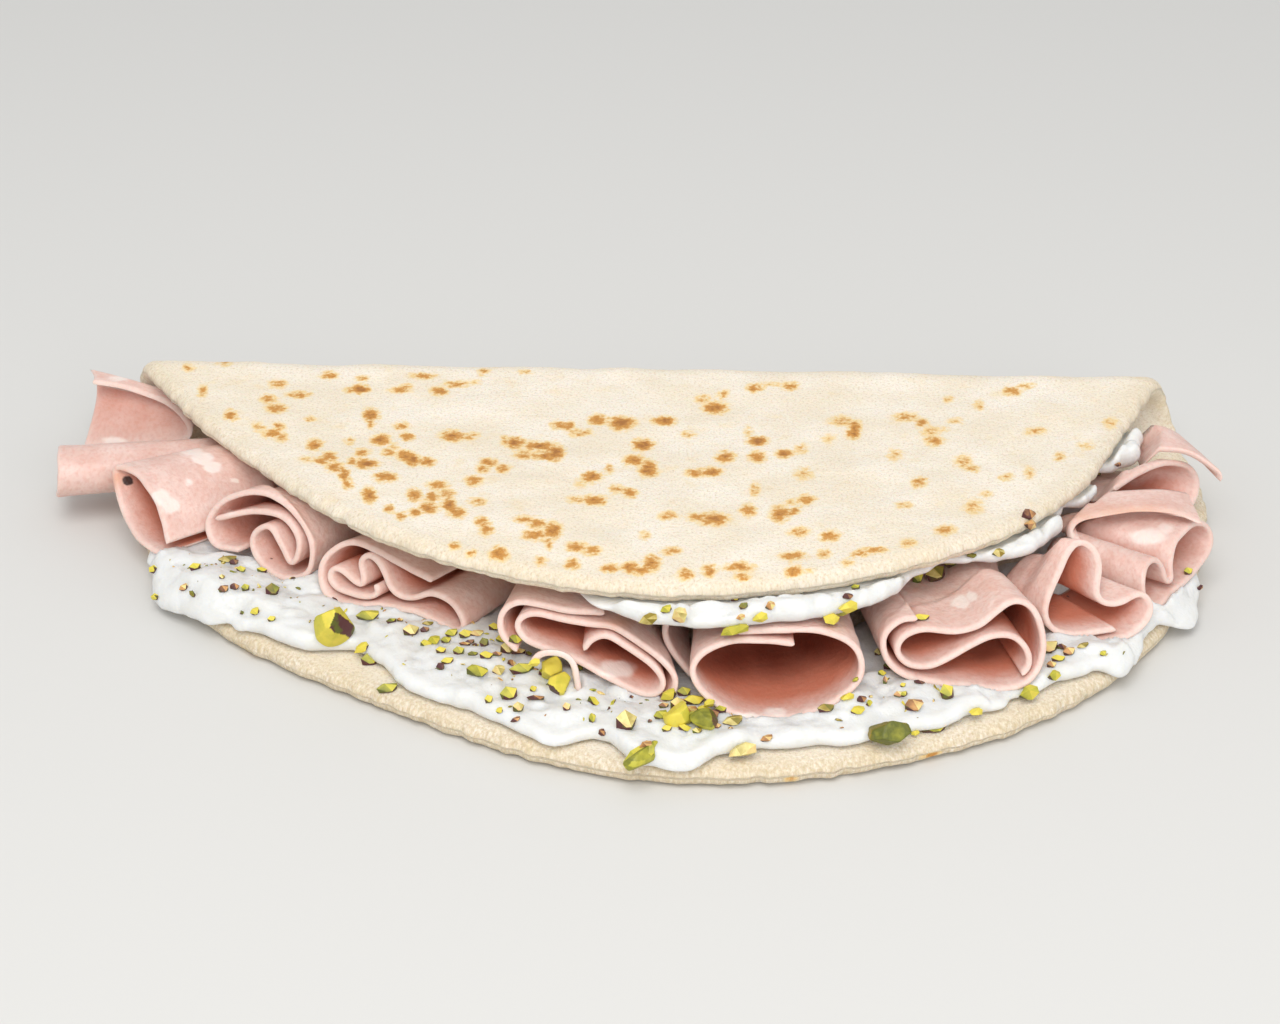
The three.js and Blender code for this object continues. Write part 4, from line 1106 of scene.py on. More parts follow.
def shrunk(shape, line, step):
    """The fold line at steps of the slice's depth, where it narrows and flattens."""
    part = np.minimum(step, 1.0)
    wide, tall = (1.0 + (end - 1.0) * part for end in shape["end"])
    drawn = np.array(shape["fold"], float)
    middle = (drawn[:, 0].max() + drawn[:, 0].min()) / 2
    level = drawn[:, 1].max() if shape.get("hangs") else 0.0
    return middle + (line[:, None, 0] - middle) * wide, level + (line[:, None, 1] - level) * tall


def slice_points(shape, side, height, step):
    """Places in the drawing for points of a slice's fold plane at steps of its depth."""
    part = np.minimum(step, 1.0)
    back_x, back_y = shape.get("back", (0.0, 0.0))
    face = np.radians(shape["face"] + shape.get("turn", 0.0) * part)
    lean = math.sin(math.radians(shape["lean"])) * (1.0 - part)
    rise = math.cos(math.radians(shape["lean"]))
    run = math.radians(shape["run"])
    foot_x, foot_y, foot_z = shape["foot"]
    deep = shape["depth"] * part
    x = foot_x + back_x * (step - part) + math.cos(run) * deep
    y = foot_y + back_y * (step - part) + math.sin(run) * deep
    x = x + np.cos(face) * side - np.sin(face) * lean * height
    y = y + np.sin(face) * side + np.cos(face) * lean * height
    z = foot_z + rise * height
    room = np.minimum(1.0, (ceiling(x, y) - SLICE_FLOOR) / (pile_top(shape) - SLICE_FLOOR))
    return stacked(x, y, SLICE_FLOOR + (z - SLICE_FLOOR) * room)


def slice_mesh(number, shape, sizes):
    """A folded sheet with rounded edges, and the values that colour it."""
    at, line = fold_line(shape["fold"], FOLD_STEP)
    depth = lip_steps(shape["depth"], DEPTH_STEP)[:-LIP_STEPS]
    deep_share = np.concatenate([depth / shape["depth"], [1.0]])
    if "back" in shape:
        deep_share = np.concatenate([deep_share, np.linspace(*BACK_STEPS)])
    walked, step = np.meshgrid(at, deep_share, indexing="ij")
    mouth = np.clip(step * shape["depth"] / SLICE_LIP, 0.0, 1.0)
    inner_end = np.clip((deep_share[-1] - step) * shape["depth"] / SLICE_LIP, 0.0, 1.0)
    thick = edge_share(walked, at[-1]) * np.sqrt(1.0 - (1.0 - mouth) ** 2)
    thick = thick * np.sqrt(1.0 - (1.0 - inner_end) ** 2)
    sheet = stacked(walked, step * shape["depth"], 0.0 * walked + APART["slices"] * number)
    bend = sizes.slice_wave / MM * layered(sheet, "slice_wave")
    edge = stacked(walked, 0.0 * walked, sheet[..., 2])
    ragged = layered(edge, "slice_edge") * (1.0 - step.clip(0, 1))
    side, height = shrunk(shape, line, step)
    along = stacked(np.gradient(side, axis=0), np.gradient(height, axis=0))
    along /= np.linalg.norm(along, axis=-1)[..., None]
    grids, sheets, fold_shades = [], [], []
    for face in (1.0, -1.0):
        out = face * SHEET / 2 * thick + bend
        # Painted shade: faces that look into the fold get darker and warmer deeper from the mouth.
        inwards = eased(step * shape["depth"], *FOLD_SHADE_FROM)
        fold_shades.append(FOLD_SHADE_STRENGTH.get(number, 1.0) * facing_the_fold(line, face)[:, None] * inwards)
        thicker = side - along[..., 1] * out, height + along[..., 0] * out
        grids.append(slice_points(shape, *thicker, step + ragged / shape["depth"]))
        sheets.append(sheet + np.array([0.0, 0.0, APART["slice_faces"] * face]))
    points, quads = slab(*grids)
    # Painted highlight: the cut rims, where light catches them, are paler.
    rim_distance = np.minimum(step * shape["depth"], np.minimum(walked, at[-1] - walked))
    rim = np.exp(-rim_distance / RIM_HIGHLIGHT_FADE)
    attributes = {
        "sheet": slab_values(*sheets),
        "rim": slab_values(rim, rim),
        "inside": slab_values(*fold_shades),
        **{label: painted(points, marks.get(number, ())) for label, marks in MARKS.items()},
    }
    # The painted shadow falls only on faces that look into a fold.
    attributes["gloom"] = attributes["gloom"] * attributes["inside"]
    return mesh_of(f"mortadella_{number:02}", points, quads, attributes)


def mortadella_look(colours):
    look = Look("Sliced mortadella", colours)
    sheet = look.vector("sheet")
    cloud = look.fine(sheet, "meat_cloud")
    base = look.toned("meat", "meat_pale", cloud, "meat_pale")
    mince = look.fine(sheet, "mince")
    base = look.toned(base, "meat_deep", mince, "mince")
    warp = look.add("ShaderNodeVectorMath", {0: sheet, 1: (1.0, 0.6, 0.0)}, operation="MULTIPLY")
    base = look.toned(base, "fat", look.fine(warp.outputs["Vector"], "lumps"), "lumps")
    # Painted light and shade over the meat: a painted highlight on the cut rims, painted shade deep in the
    # folds, painted warm shade and painted shadow inside them.
    for colour, mask, most in (
        ("rim", "rim", 0.5), ("meat_fold_shade", "inside", 0.85),
        ("stain", "stain", 0.8), ("meat_painted_shadow", "gloom", 0.7),
    ):
        base = look.tinted(base, colour, look.value(mask), most)
    # Pale marks of real fat and painted highlights, then peppercorns.
    for mark in ("fat", "pepper"):
        base = look.toned(base, mark, look.value(mark), mark)
    dimples = look.bump(look.fine(sheet, "dimples"), "dimples")
    return look.finish(
        "meat",
        Base_Color=base,
        Roughness=look.spread(cloud, *ROUGH["meat"]),
        Normal=look.bump(mince, "mince", dimples),
    )


# The cream


def cream_section(edge, reach, lowest_deg):
    """Angles round the cream's lip, and how far each point of its section is from the middle of
    the round: first round the lip, then inwards."""
    lip = np.radians(np.arange(lowest_deg, 91.0, LIP_TURN))
    inwards = reach + np.concatenate([np.linspace(*stretch) for stretch in INWARDS])
    round_lip = (edge - reach)[:, None] + reach * np.cos(lip)
    return lip, np.concatenate([round_lip, edge[:, None] - inwards], axis=1)


def lower_cream_height(x, y, in_front):
    """Height of the lower cream above its floor at places in plan, before the slices weigh on it."""
    place = stacked(x, y, 0.0 * x)
    whipped = layered(place, "lower_whip", billows) + layered(place, "lower_curds")
    crest = CREAM["crest"] - CREAM["whip_middle"] + whipped
    filled = eased(in_front, -CREAM["filled_behind"], CREAM["filled_over"])
    height = CREAM["under_slices"] + filled * (crest - CREAM["under_slices"])
    for *dollop, rise in DOLLOPS:
        near = mound(x, y, *dollop)
        height = np.maximum(height, rise * np.sqrt(near) + CREAM["dollop_whip"] * whipped * near)
    return height


def draped(height):
    """Lowers a grid of heights until hardly a step between neighbours is too steep."""
    for _ in range(PASSES["draped"]):
        for axis, slope in enumerate(STEEPEST):
            before = np.roll(height, 1, axis)
            after = np.roll(height, -1, axis)
            height = np.minimum(height, np.minimum(before, after) + slope)
    return height


def room_under(surface, x, y):
    """How high the cream may stand over its floor before it meets the slices above it."""
    room = np.full(x.shape, CREAM["tallest"])
    for index in np.ndindex(x.shape):
        found = surface.height_over(x[index], y[index], CREAM["floor"])
        if found is not None:
            room[index] = np.clip(found - CREAM["under_gap"], CREAM["thinnest"], CREAM["tallest"])
    return room


def lower_cream_mesh(sizes, surface):
    """The lower cream's skin, closed by a floor under it, a little inside the lip."""
    angle = np.arange(*LOWER_ARC)
    rim = rim_radius(angle)
    (right, right_over), (left, left_over) = LOWER_ENDS
    ends = eased(-angle, right, right_over) * eased(angle, -left, left_over)
    round_rim = stacked(*plan_place(angle, rim, 1.0), 0.0 * angle)
    edge = rim - value_at(LOWER_EDGE, angle) + layered(round_rim, "lower_lobes")
    lip_height = sizes.lip_height / MM + layered(round_rim, "lower_lip")
    lip_height = lip_height * (CREAM["lowest_lip"] + (1.0 - CREAM["lowest_lip"]) * ends)
    reach = CREAM["lip_reach"]
    lip, radius = cream_section(edge, reach, -90.0)
    ragged = layered(stacked(radius, 0.0 * radius, 0.0 * radius), "lower_ends")
    x, y = plan_place(angle[:, None] + ragged * (1.0 - ends[:, None]), radius, 1.0)
    inset = edge[:, None] - radius
    in_front = value_at(SLICE_LINE, angle)[:, None] - (rim[:, None] - radius)
    full = CREAM["lowest_end"] + (1.0 - CREAM["lowest_end"]) * ends[:, None]
    height = lower_cream_height(x, y, in_front) * full
    room = room_under(surface, x, y)
    near_lip = room[:, len(lip):len(lip) + CREAM["lip_room"]].min(axis=1)
    for _ in range(PASSES["lip"]):
        beside = (np.roll(near_lip, 1) + np.roll(near_lip, -1)) / 2
        near_lip = np.minimum(near_lip, beside + CREAM["lip_slope"])
    lip_height = np.minimum(lip_height, near_lip + CREAM["lip_over_slices"])
    leave = eased(inset, reach, CREAM["lip_fade"])
    height = height * leave + (1.0 - leave) * lip_height[:, None]
    height[:, len(lip):] = draped(np.minimum(height, room))[:, len(lip):]
    height[:, :len(lip)] = lip_height[:, None] / 2 * (1.0 + np.sin(lip))
    over = np.maximum(0.0, radius - rim[:, None] + 1.0)
    z = CREAM["floor"] + height - sizes.droop * over
    near = np.exp(-np.maximum(0.0, in_front - SPRINKLED["full"]) / SPRINKLED["fade"])
    near = near * eased(in_front, *SPRINKLED["behind"])
    sprinkle = value_at(SPRINKLE, angle)[:, None] * near * eased(inset, *SPRINKLED["inset"])
    sprinkle = sprinkle * (room >= CREAM["tallest"])
    upper = stacked(x, y, z)
    share = np.linspace(0.0, 1.0, x.shape[1])[None, :, None]
    lower = upper[:, :1] + (upper[:, -1:] - upper[:, :1]) * share
    lower[..., 2] = np.minimum(CREAM["floor"], lower[..., 2])
    upper[:, -1, 2] = lower[:, -1, 2]
    points, quads = slab(upper, lower)
    return mesh_of("cream_lower", points, quads, {"sprinkle": slab_values(sprinkle, 0.0 * sprinkle)})


def upper_cream_mesh(sizes):
    """The cream under the flap, with a lip that swells out past the flap's rim."""
    angle = np.arange(*UPPER_ARC)
    rim = rim_radius(angle)
    round_rim = stacked(*plan_place(angle, rim, -1.0), 0.0 * angle)
    (right, right_over), (left, left_over) = UPPER_ENDS
    ends = eased(angle, right, right_over) * eased(-angle, -left, left_over)
    edge = rim + value_at(UPPER_EDGE, angle) + layered(round_rim, "upper_lobes") * ends
    reach = CREAM["upper_lip_reach"]
    _, radius = cream_section(edge, reach, 0.0)
    x, y = plan_place(angle[:, None], radius, -1.0)
    inset = edge[:, None] - radius
    y = np.minimum(y, CREAM["upper_back_y"])
    flap, _ = beyond_flap(x, y)
    place = stacked(x, y, 0.0 * x)
    whipped = layered(place, "upper_whip", billows)
    out = eased(flap, *CREAM["upper_outside"])
    swell = sizes.upper_lip / MM - CREAM["upper_whip_middle"] + whipped
    top = out * ends[:, None] * swell - CREAM["upper_gap"]
    for *dollop, rise in UPPER_DOLLOPS:
        top = top + out * rise * np.sqrt(mound(x, y, *dollop))
    bottom = -CREAM["upper_gap"] - UPPER_CREAM - CREAM["upper_sink"] * out
    rounding = np.sqrt(1.0 - (1.0 - np.clip(inset / reach, 0.0, 1.0)) ** 2)
    full = CREAM["thinnest_end"] + (1.0 - CREAM["thinnest_end"]) * ends[:, None]
    thick = (top - bottom) / 2 * rounding * full
    middle = flap_under(x, y) + (top + bottom) / 2
    points, quads = slab(stacked(x, y, middle + thick), stacked(x, y, middle - thick))
    return mesh_of("cream_upper", points, quads)


def cream_look(colours):
    look = Look("Fresh cheese cream", colours)
    fluff = look.fine(look.place, "fluff")
    curd = look.bump(look.fine(look.place, "curd"), "curd")
    return look.finish(
        "cream",
        Base_Color=look.toned("cream", "cream_warm", fluff, "cream_warm"),
        Roughness=ROUGH["cream"],
        Normal=look.bump(fluff, "fluff", curd),
    )


# The pistachios


def broken_ball(draw):
    """A piece broken off a kernel: points, faces, normals of its facets, facet at each point."""
    built = bmesh.new()
    bmesh.ops.create_icosphere(built, subdivisions=5, radius=1.0)
    directions = np.array([v.co for v in built.verts])
    faces = np.array([[v.index for v in face.verts] for face in built.faces])
    built.free()
    directions /= np.linalg.norm(directions, axis=1)[:, None]
    normals = draw.normal(size=(BREAKS["cuts"], 3))
    normals /= np.linalg.norm(normals, axis=1)[:, None]
    reach = np.maximum(directions @ normals.T, 0.0) / draw.uniform(*BREAKS["depth"], len(normals))
    distance = (1.0 + (reach ** BREAKS["sharpness"]).sum(axis=1)) ** (-1.0 / BREAKS["sharpness"])
    bumps = 1.0 + layered(directions + draw.uniform(0, 9, 3), "kernel")
    return directions * (distance * bumps)[:, None], faces, normals, reach.argmax(axis=1)


def kernel_mesh(number, shape):
    """A broken kernel of the wanted size, with skin on the facets that face its skin's side."""
    draw = np.random.default_rng(SEEDS["kernels"] + number)
    points, faces, normals, facet = broken_ball(draw)
    span = points.max(axis=0) - points.min(axis=0)
    points = (points - (points.max(axis=0) + points.min(axis=0)) / 2) / span * np.array(shape["size"])
    turn = np.array(Matrix.Rotation(math.radians(shape["turn"]), 3, "Z"))
    points = points @ turn.T + np.array(shape["at"])
    side = np.array(shape["skin_side"], float)
    near = (normals @ turn.T @ side / np.linalg.norm(side) - 1.0 + shape["skin"]) / SKIN_EDGE
    tone = TONES[shape["tone"]] + draw.uniform(*TONE_SPREAD["kernel"], len(normals))
    attributes = {"skin": smooth(near)[facet], "tone": tone[facet]}
    return mesh_of(f"pistachio_{number:02}", points, faces, attributes)


def pistachio_look(colours):
    look = Look("Chopped pistachio", colours)
    grain = look.fine(look.place, "kernel")
    tone = look.math("ADD", look.value("tone"), look.value("shade"))
    shade = look.math("ADD", tone, look.math("MULTIPLY", look.math("SUBTRACT", grain, 0.5), 0.3))
    flesh = look.ramp(shade, [(at, f"kernel_{name}") for name, at in TONES.items()])
    skin = look.toned("kernel_skin", "kernel_dark", grain, "kernel_skin")
    return look.finish(
        "kernel",
        Base_Color=look.mixed(look.value("skin"), flesh, skin),
        Roughness=ROUGH["kernel"],
        Normal=look.bump(grain, "kernel"),
    )


class Surface:
    """The pieces so far as one surface that the camera's rays can meet."""

    def __init__(self, pieces):
        points = []
        faces = []
        for piece in pieces:
            faces.extend([k + len(points) for k in face.vertices] for face in piece.data.polygons)
            points.extend(vertex.co for vertex in piece.data.vertices)
        self.tree = BVHTree.FromPolygons(points, faces)

    def height_over(self, x, y, floor):
        """How far over the floor something hangs above a place of the drawing."""
        lower = 0.6
        start = Vector((np.array((x, y, floor - lower)) + SHIFT) * MM)
        _, _, _, distance = self.tree.ray_cast(start, Vector((0.0, 0.0, 1.0)))
        return None if distance is None else distance / MM - lower

    def seen_at(self, column, row):
        """Place and normal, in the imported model's metres, of what the camera sees there."""
        pitch = math.radians(CAMERA["pitch_deg"])
        middle_column, middle_row = CAMERA["middle_px"]
        right = (column - middle_column) / CAMERA["focal_px"]
        up = (middle_row - row) / CAMERA["focal_px"]
        ahead = Vector((0.0, math.cos(pitch), -math.sin(pitch)))
        ray = ahead + Vector((right, 0.0, 0.0)) + up * Vector((0.0, math.sin(pitch), math.cos(pitch)))
        ray.normalize()
        eye = Vector((np.array(CAMERA["place"]) + SHIFT) * MM)
        place, normal, _, distance = self.tree.ray_cast(eye, ray)
        return None if place is None else (place, normal, distance * ray.dot(ahead))


def seats_mesh(surface):
    """One point for each bit that the camera sees, with its normal, size and colour."""
    draw = np.random.default_rng(SEEDS["bits"])
    places, normals, spans, tones = [], [], [], []
    for tone, column, row, length, height in BITS:
        seen = surface.seen_at(column, row)
        if seen is None:
            continue
        place, normal, distance = seen
        mm = distance / CAMERA["focal_px"] / MM
        span = np.array([length, 0.5 * (length + height), height]) * mm * BIT_SCALE
        places.append(np.array(place) / MM - SHIFT + np.array(normal) * BIT_RISE * span[2])
        normals.append(normal)
        spans.append(span / 2)
        tones.append(TONES[tone] + draw.uniform(*TONE_SPREAD["bit"]))
    mesh = bpy.data.meshes.new("seats")
    mesh.from_pydata(((np.array(places) + SHIFT) * MM).tolist(), [], [])
    for label, values in (("seat_normal", normals), ("seat_size", spans), ("tone", tones)):
        store(mesh, label, values)
    return mesh


def chips_collection():
    """Broken shapes about 2 mm across, scaled where they are set down."""
    collection = bpy.data.collections.new("Pistachio chips")
    for number in range(CHIPS["kinds"]):
        draw = np.random.default_rng(SEEDS["chips"] + number)
        corners = draw.normal(size=(CHIPS["corners"], 3))
        distance = draw.uniform(*CHIPS["distance"], len(corners))
        corners *= (distance / np.linalg.norm(corners, axis=1))[:, None]
        corners *= (CHIPS["length"], draw.uniform(*CHIPS["width"]), draw.uniform(*CHIPS["height"]))
        built = bmesh.new()
        for corner in corners:
            built.verts.new(corner * MM)
        hull = bmesh.ops.convex_hull(built, input=built.verts)
        bmesh.ops.delete(built, geom=hull["geom_interior"], context="VERTS")
        mesh = bpy.data.meshes.new(f"chip_{number}")
        built.to_mesh(mesh)
        built.free()
        mesh.shade_flat()
        side = draw.normal(size=3)
        side /= np.linalg.norm(side)
        skin = [float(np.dot(face.normal, side) > CHIPS["skin"]) for face in mesh.polygons]
        store(mesh, "skin", skin, "FACE")
        store(mesh, "shade", draw.uniform(*CHIPS["shades"], len(skin)), "FACE")
        collection.objects.link(bpy.data.objects.new(f"chip_{number}", mesh))
    return collection


def bits_tree():
    """Geometry Nodes: chips on the seats, and fine crumbs spread over the sprinkled cream."""
    tree = bpy.data.node_groups.new("Pistachio bits", "GeometryNodeTree")
    for name, kind in (
        ("Geometry", "Geometry"), ("Seats", "Object"), ("Chips", "Collection"),
        ("Crumbs per square metre", "Float"), ("Smallest", "Float"), ("Largest", "Float"),
        ("Seed", "Int"), ("Finish", "Material"),
    ):
        tree.interface.new_socket(name, in_out="INPUT", socket_type=f"NodeSocket{kind}")
    tree.interface.new_socket("Geometry", in_out="OUTPUT", socket_type="NodeSocketGeometry")
    add = partial(add_node, tree)

    def named(name, kind):
        read = add("GeometryNodeInputNamedAttribute", {"Name": name}, data_type=kind)
        return read.outputs["Attribute"]

    def chance(seed):
        return add("FunctionNodeRandomValue", {2: 0.0, 3: 1.0, "Seed": seed}, data_type="FLOAT").outputs[1]

    def stored(geometry, name, value, kind):
        settings = {"Geometry": geometry, "Name": name, "Value": value}
        made = add("GeometryNodeStoreNamedAttribute", settings, data_type=kind, domain="POINT")
        return made.outputs["Geometry"]

    given = add("NodeGroupInput").outputs
    density = add("ShaderNodeMath", {0: given["Crumbs per square metre"], 1: named("sprinkle", "FLOAT")},
                  operation="MULTIPLY")
    spread = add("GeometryNodeDistributePointsOnFaces", {
        "Mesh": given["Geometry"], "Density": density.outputs[0], "Seed": given["Seed"]})
    power = add("ShaderNodeMath", {0: chance(3), 1: CRUMBS["rarity"]}, operation="POWER")
    size = add("ShaderNodeMapRange", {"Value": power.outputs[0], "To Min": given["Smallest"],
                                      "To Max": given["Largest"]})
    shape = add("ShaderNodeVectorMath", {0: CRUMBS["shape"], "Scale": size.outputs["Result"]},
                operation="SCALE")
    crumbs = stored(spread.outputs["Points"], "seat_size", shape.outputs["Vector"], "FLOAT_VECTOR")
    crumbs = stored(crumbs, "seat_turn", spread.outputs["Rotation"], "QUATERNION")
    crumbs = stored(crumbs, "tone", chance(4), "FLOAT")
    seats = add("GeometryNodeObjectInfo", {"Object": given["Seats"]}, transform_space="ORIGINAL")
    points = add("GeometryNodeMeshToPoints", {"Mesh": seats.outputs["Geometry"]})
    upright = add("FunctionNodeAlignRotationToVector", {"Vector": named("seat_normal", "FLOAT_VECTOR")},
                  axis="Z")
    seated = stored(points.outputs["Points"], "seat_turn", upright.outputs["Rotation"], "QUATERNION")
    joined = add("GeometryNodeJoinGeometry")
    for part in (crumbs, seated):
        tree.links.new(part, joined.inputs["Geometry"])
    lean = CRUMBS["lean"]
    spin = add("FunctionNodeRandomValue", {
        0: (-lean, -lean, 0.0), 1: (lean, lean, 2 * math.pi), "Seed": 5}, data_type="FLOAT_VECTOR")
    spun = add("FunctionNodeEulerToRotation", {"Euler": spin.outputs[0]})
    turn = add("FunctionNodeRotateRotation", {
        "Rotation": named("seat_turn", "QUATERNION"), "Rotate By": spun.outputs["Rotation"],
    }, rotation_space="LOCAL")
    chips = add("GeometryNodeCollectionInfo", {
        "Collection": given["Chips"], "Separate Children": True, "Reset Children": True})
    placed = add("GeometryNodeInstanceOnPoints", {
        "Points": joined.outputs["Geometry"], "Instance": chips.outputs["Instances"],
        "Pick Instance": True, "Rotation": turn.outputs["Rotation"],
        "Scale": named("seat_size", "FLOAT_VECTOR")})
    solid = add("GeometryNodeRealizeInstances", {"Geometry": placed.outputs["Instances"]})
    finish = add("GeometryNodeSetMaterial", {
        "Geometry": solid.outputs["Geometry"], "Material": given["Finish"]})
    leave = add("NodeGroupOutput")
    tree.links.new(finish.outputs["Geometry"], leave.inputs["Geometry"])
    return tree


def baked(carrier, modifier):
    """The plain mesh that an object's nodes make, and the object without them."""
    bpy.context.view_layer.update()
    evaluated = carrier.evaluated_get(bpy.context.evaluated_depsgraph_get())
    mesh = bpy.data.meshes.new_from_object(evaluated)
    carrier.modifiers.remove(modifier)
    return mesh


def bits_mesh(ground, surface, sizes, look):
    """The bits that lie on one piece of cream and on the slices over it."""
    tree = bits_tree()
    seats = bpy.data.objects.new("seats", seats_mesh(surface))
    carrier = bpy.data.objects.new("bits_carrier", ground.data)
    chips = chips_collection()
    for each in (seats, carrier):
        bpy.context.scene.collection.objects.link(each)
    modifier = carrier.modifiers.new("Bits", "NODES")
    modifier.node_group = tree
    wanted = {
        "Seats": seats,
        "Chips": chips,
        "Crumbs per square metre": sizes.crumb_density,
        "Smallest": sizes.crumb_smallest / MM,
        "Largest": sizes.crumb_largest / MM,
        "Seed": sizes.seed,
        "Finish": look,
    }
    for socket in tree.interface.items_tree:
        if socket.item_type == "SOCKET" and socket.name in wanted:
            modifier[socket.identifier] = wanted[socket.name]
    mesh = baked(carrier, modifier)
    for each in (carrier, seats, *chips.objects):
        bpy.data.objects.remove(each)
    bpy.data.collections.remove(chips)
    return mesh


# The stage


def add_area_light(name, place, target, width, energy, colour):
    light = bpy.data.lights.new(name, "AREA")
    light.shape = "DISK"
    light.size = width
    light.energy = energy
    light.color = colour
    lamp = bpy.data.objects.new(name, light)
    bpy.context.scene.collection.objects.link(lamp)
    lamp.location = place
    lamp.rotation_euler = (Vector(target) - Vector(place)).to_track_quat("-Z", "Y").to_euler()


def add_floor():
    mesh = bpy.data.meshes.new("floor")
    corners = ((-1, -1), (1, -1), (1, 1), (-1, 1))
    mesh.from_pydata([(x * FLOOR_HALF, y * FLOOR_HALF, 0.0) for x, y in corners], [], [(0, 1, 2, 3)])
    pale = linear(214, 213, 210)
    mesh.materials.append(Look("Pale floor").finish(Base_Color=pale, Roughness=ROUGH["floor"]))
    floor = bpy.data.objects.new("floor", mesh)
    bpy.context.scene.collection.objects.link(floor)


def add_camera():
    """The camera that took the picture, worked out from the drawing's frame."""
    camera = bpy.data.cameras.new("camera")
    camera.sensor_width = 36.0
    camera.lens = camera.sensor_width * CAMERA["focal_px"] / CAMERA["width_px"]
    camera.clip_start = 0.01
    eye = bpy.data.objects.new("camera", camera)
    bpy.context.scene.collection.objects.link(eye)
    eye.location = (np.array(CAMERA["place"]) + SHIFT) * MM
    eye.rotation_euler = (math.radians(90.0 - CAMERA["pitch_deg"]), 0.0, 0.0)
    bpy.context.scene.camera = eye


# What a user can change


def colour_property(name, description, red, green, blue):
    return bpy.props.FloatVectorProperty(
        name=name, description=description, subtype="COLOR", size=3, min=0.0, max=1.0,
        default=linear(red, green, blue),
    )


def length_property(name, description, length_mm):
    return bpy.props.FloatProperty(
        name=name, description=description, default=length_mm * MM, unit="LENGTH", min=0.0, precision=5,
    )


class PIADINA_PG_sizes(bpy.types.PropertyGroup):
    puffs: length_property("Puffs", "Height of the low puffs in the dough", 0.4)
    slice_wave: length_property("Slice wave", "How far a slice departs from its fold", 0.16)
    lip_height: length_property("Lip height", "Height of the lower cream's rolled edge", 4.2)
    upper_lip: length_property("Upper lip", "How far the upper cream swells over the flap's underside", 1.6)
    crumb_smallest: length_property("Smallest crumb", "Half its length", 0.25)
    crumb_largest: length_property("Largest crumb", "Half its length", 1.3)
    crumb_density: bpy.props.FloatProperty(
        name="Crumbs", description="Fine crumbs on a square metre of sprinkled cream", default=60000.0)
    droop: bpy.props.FloatProperty(
        name="Droop", description="How far the cream sinks as a share of how far it hangs past the rim",
        default=0.7, subtype="FACTOR")
    seed: bpy.props.IntProperty(name="Seed", description="Another seed moves the crumbs", default=4)


class PIADINA_PG_colours(bpy.types.PropertyGroup):
    dough: colour_property("Dough", "The baked dough", 239, 227, 206)
    dough_pale: colour_property("Pale dough", "Floury parts of the dough", 245, 236, 221)
    dough_border: colour_property("Dough border", "Sandy rim of the lower half", 204, 185, 149)
    dough_grit: colour_property("Dough grit", "Fine sandy specks in the dough", 198, 174, 138)
    dough_golden: colour_property("Golden dough", "Round the scorch marks", 240, 208, 144)
    toast: colour_property("Toasted dough", "The scorch marks", 206, 146, 70)
    char: colour_property("Charred dough", "The darkest of the marks", 156, 98, 42)
    meat: colour_property("Mortadella", "The slices", 221, 184, 172)
    meat_pale: colour_property("Pale mortadella", "Paler clouds in the slices", 231, 202, 192)
    meat_deep: colour_property("Deep mortadella", "Mince in the slices", 208, 148, 130)
    # Painted shade deep inside the folds.
    meat_fold_shade: colour_property("Inside of folds", "Deep inside the folds", 192, 104, 72)
    # Painted shadow inside the folds.
    meat_painted_shadow: colour_property("Darkest inside", "The darkest parts inside the folds", 124, 54, 36)
    # Painted highlight on the cut rims.
    rim: colour_property("Slice rim", "The cut edges of the slices", 237, 215, 205)
    # Fat, and painted highlights in the same colour.
    fat: colour_property("Fat", "Patches of fat in the slices", 243, 228, 220)
    # Painted warm shade inside and under the folds.
    stain: colour_property("Stain", "Warm stains on the slices", 214, 138, 84)
    pepper: colour_property("Pepper", "Specks of pepper", 60, 34, 26)
    cream: colour_property("Cream", "The cream", 228, 229, 228)
    cream_warm: colour_property("Warm cream", "Clouds in the cream", 223, 223, 220)
    kernel_bright: colour_property("Bright kernel", "Yellow-green flesh", 226, 208, 78)
    kernel_green: colour_property("Green kernel", "Green flesh", 188, 182, 60)
    kernel_dark: colour_property("Dark kernel", "Dark green flesh", 90, 96, 26)
    kernel_olive: colour_property("Olive kernel", "Olive flesh", 158, 134, 44)
    kernel_pale: colour_property("Pale kernel", "Pale flesh", 240, 226, 152)
    kernel_tan: colour_property("Tan kernel", "Brown flesh", 206, 152, 94)
    kernel_skin: colour_property("Kernel skin", "The kernels' purple skin", 84, 42, 44)


# Operators


def settings():
    scene = bpy.context.scene
    return scene.piadina_sizes, scene.piadina_colours


def pieces_named(*starts):
    return [each for each in bpy.context.scene.objects if each.name.startswith(starts)]


class PIADINA_OT_bread(bpy.types.Operator):
    """Makes the folded bread"""

    bl_idname = "piadina.bread"
    bl_label = "Bread"

    def execute(self, context):
        sizes, colours = settings()
        add_piece("baked_bread", bread_mesh(sizes), bread_look(colours), "bread")
        return {"FINISHED"}


class PIADINA_OT_cream(bpy.types.Operator):
    """Makes the lower and the upper cream round the slices that are there"""

    bl_idname = "piadina.cream"
    bl_label = "Cream"

    def execute(self, context):
        sizes, colours = settings()
        look = cream_look(colours)
        slices = Surface(pieces_named("slice_"))
        add_piece("spread_lower", lower_cream_mesh(sizes, slices), look, "cream_lower")
        add_piece("spread_upper", upper_cream_mesh(sizes), look, "cream_upper")
        return {"FINISHED"}


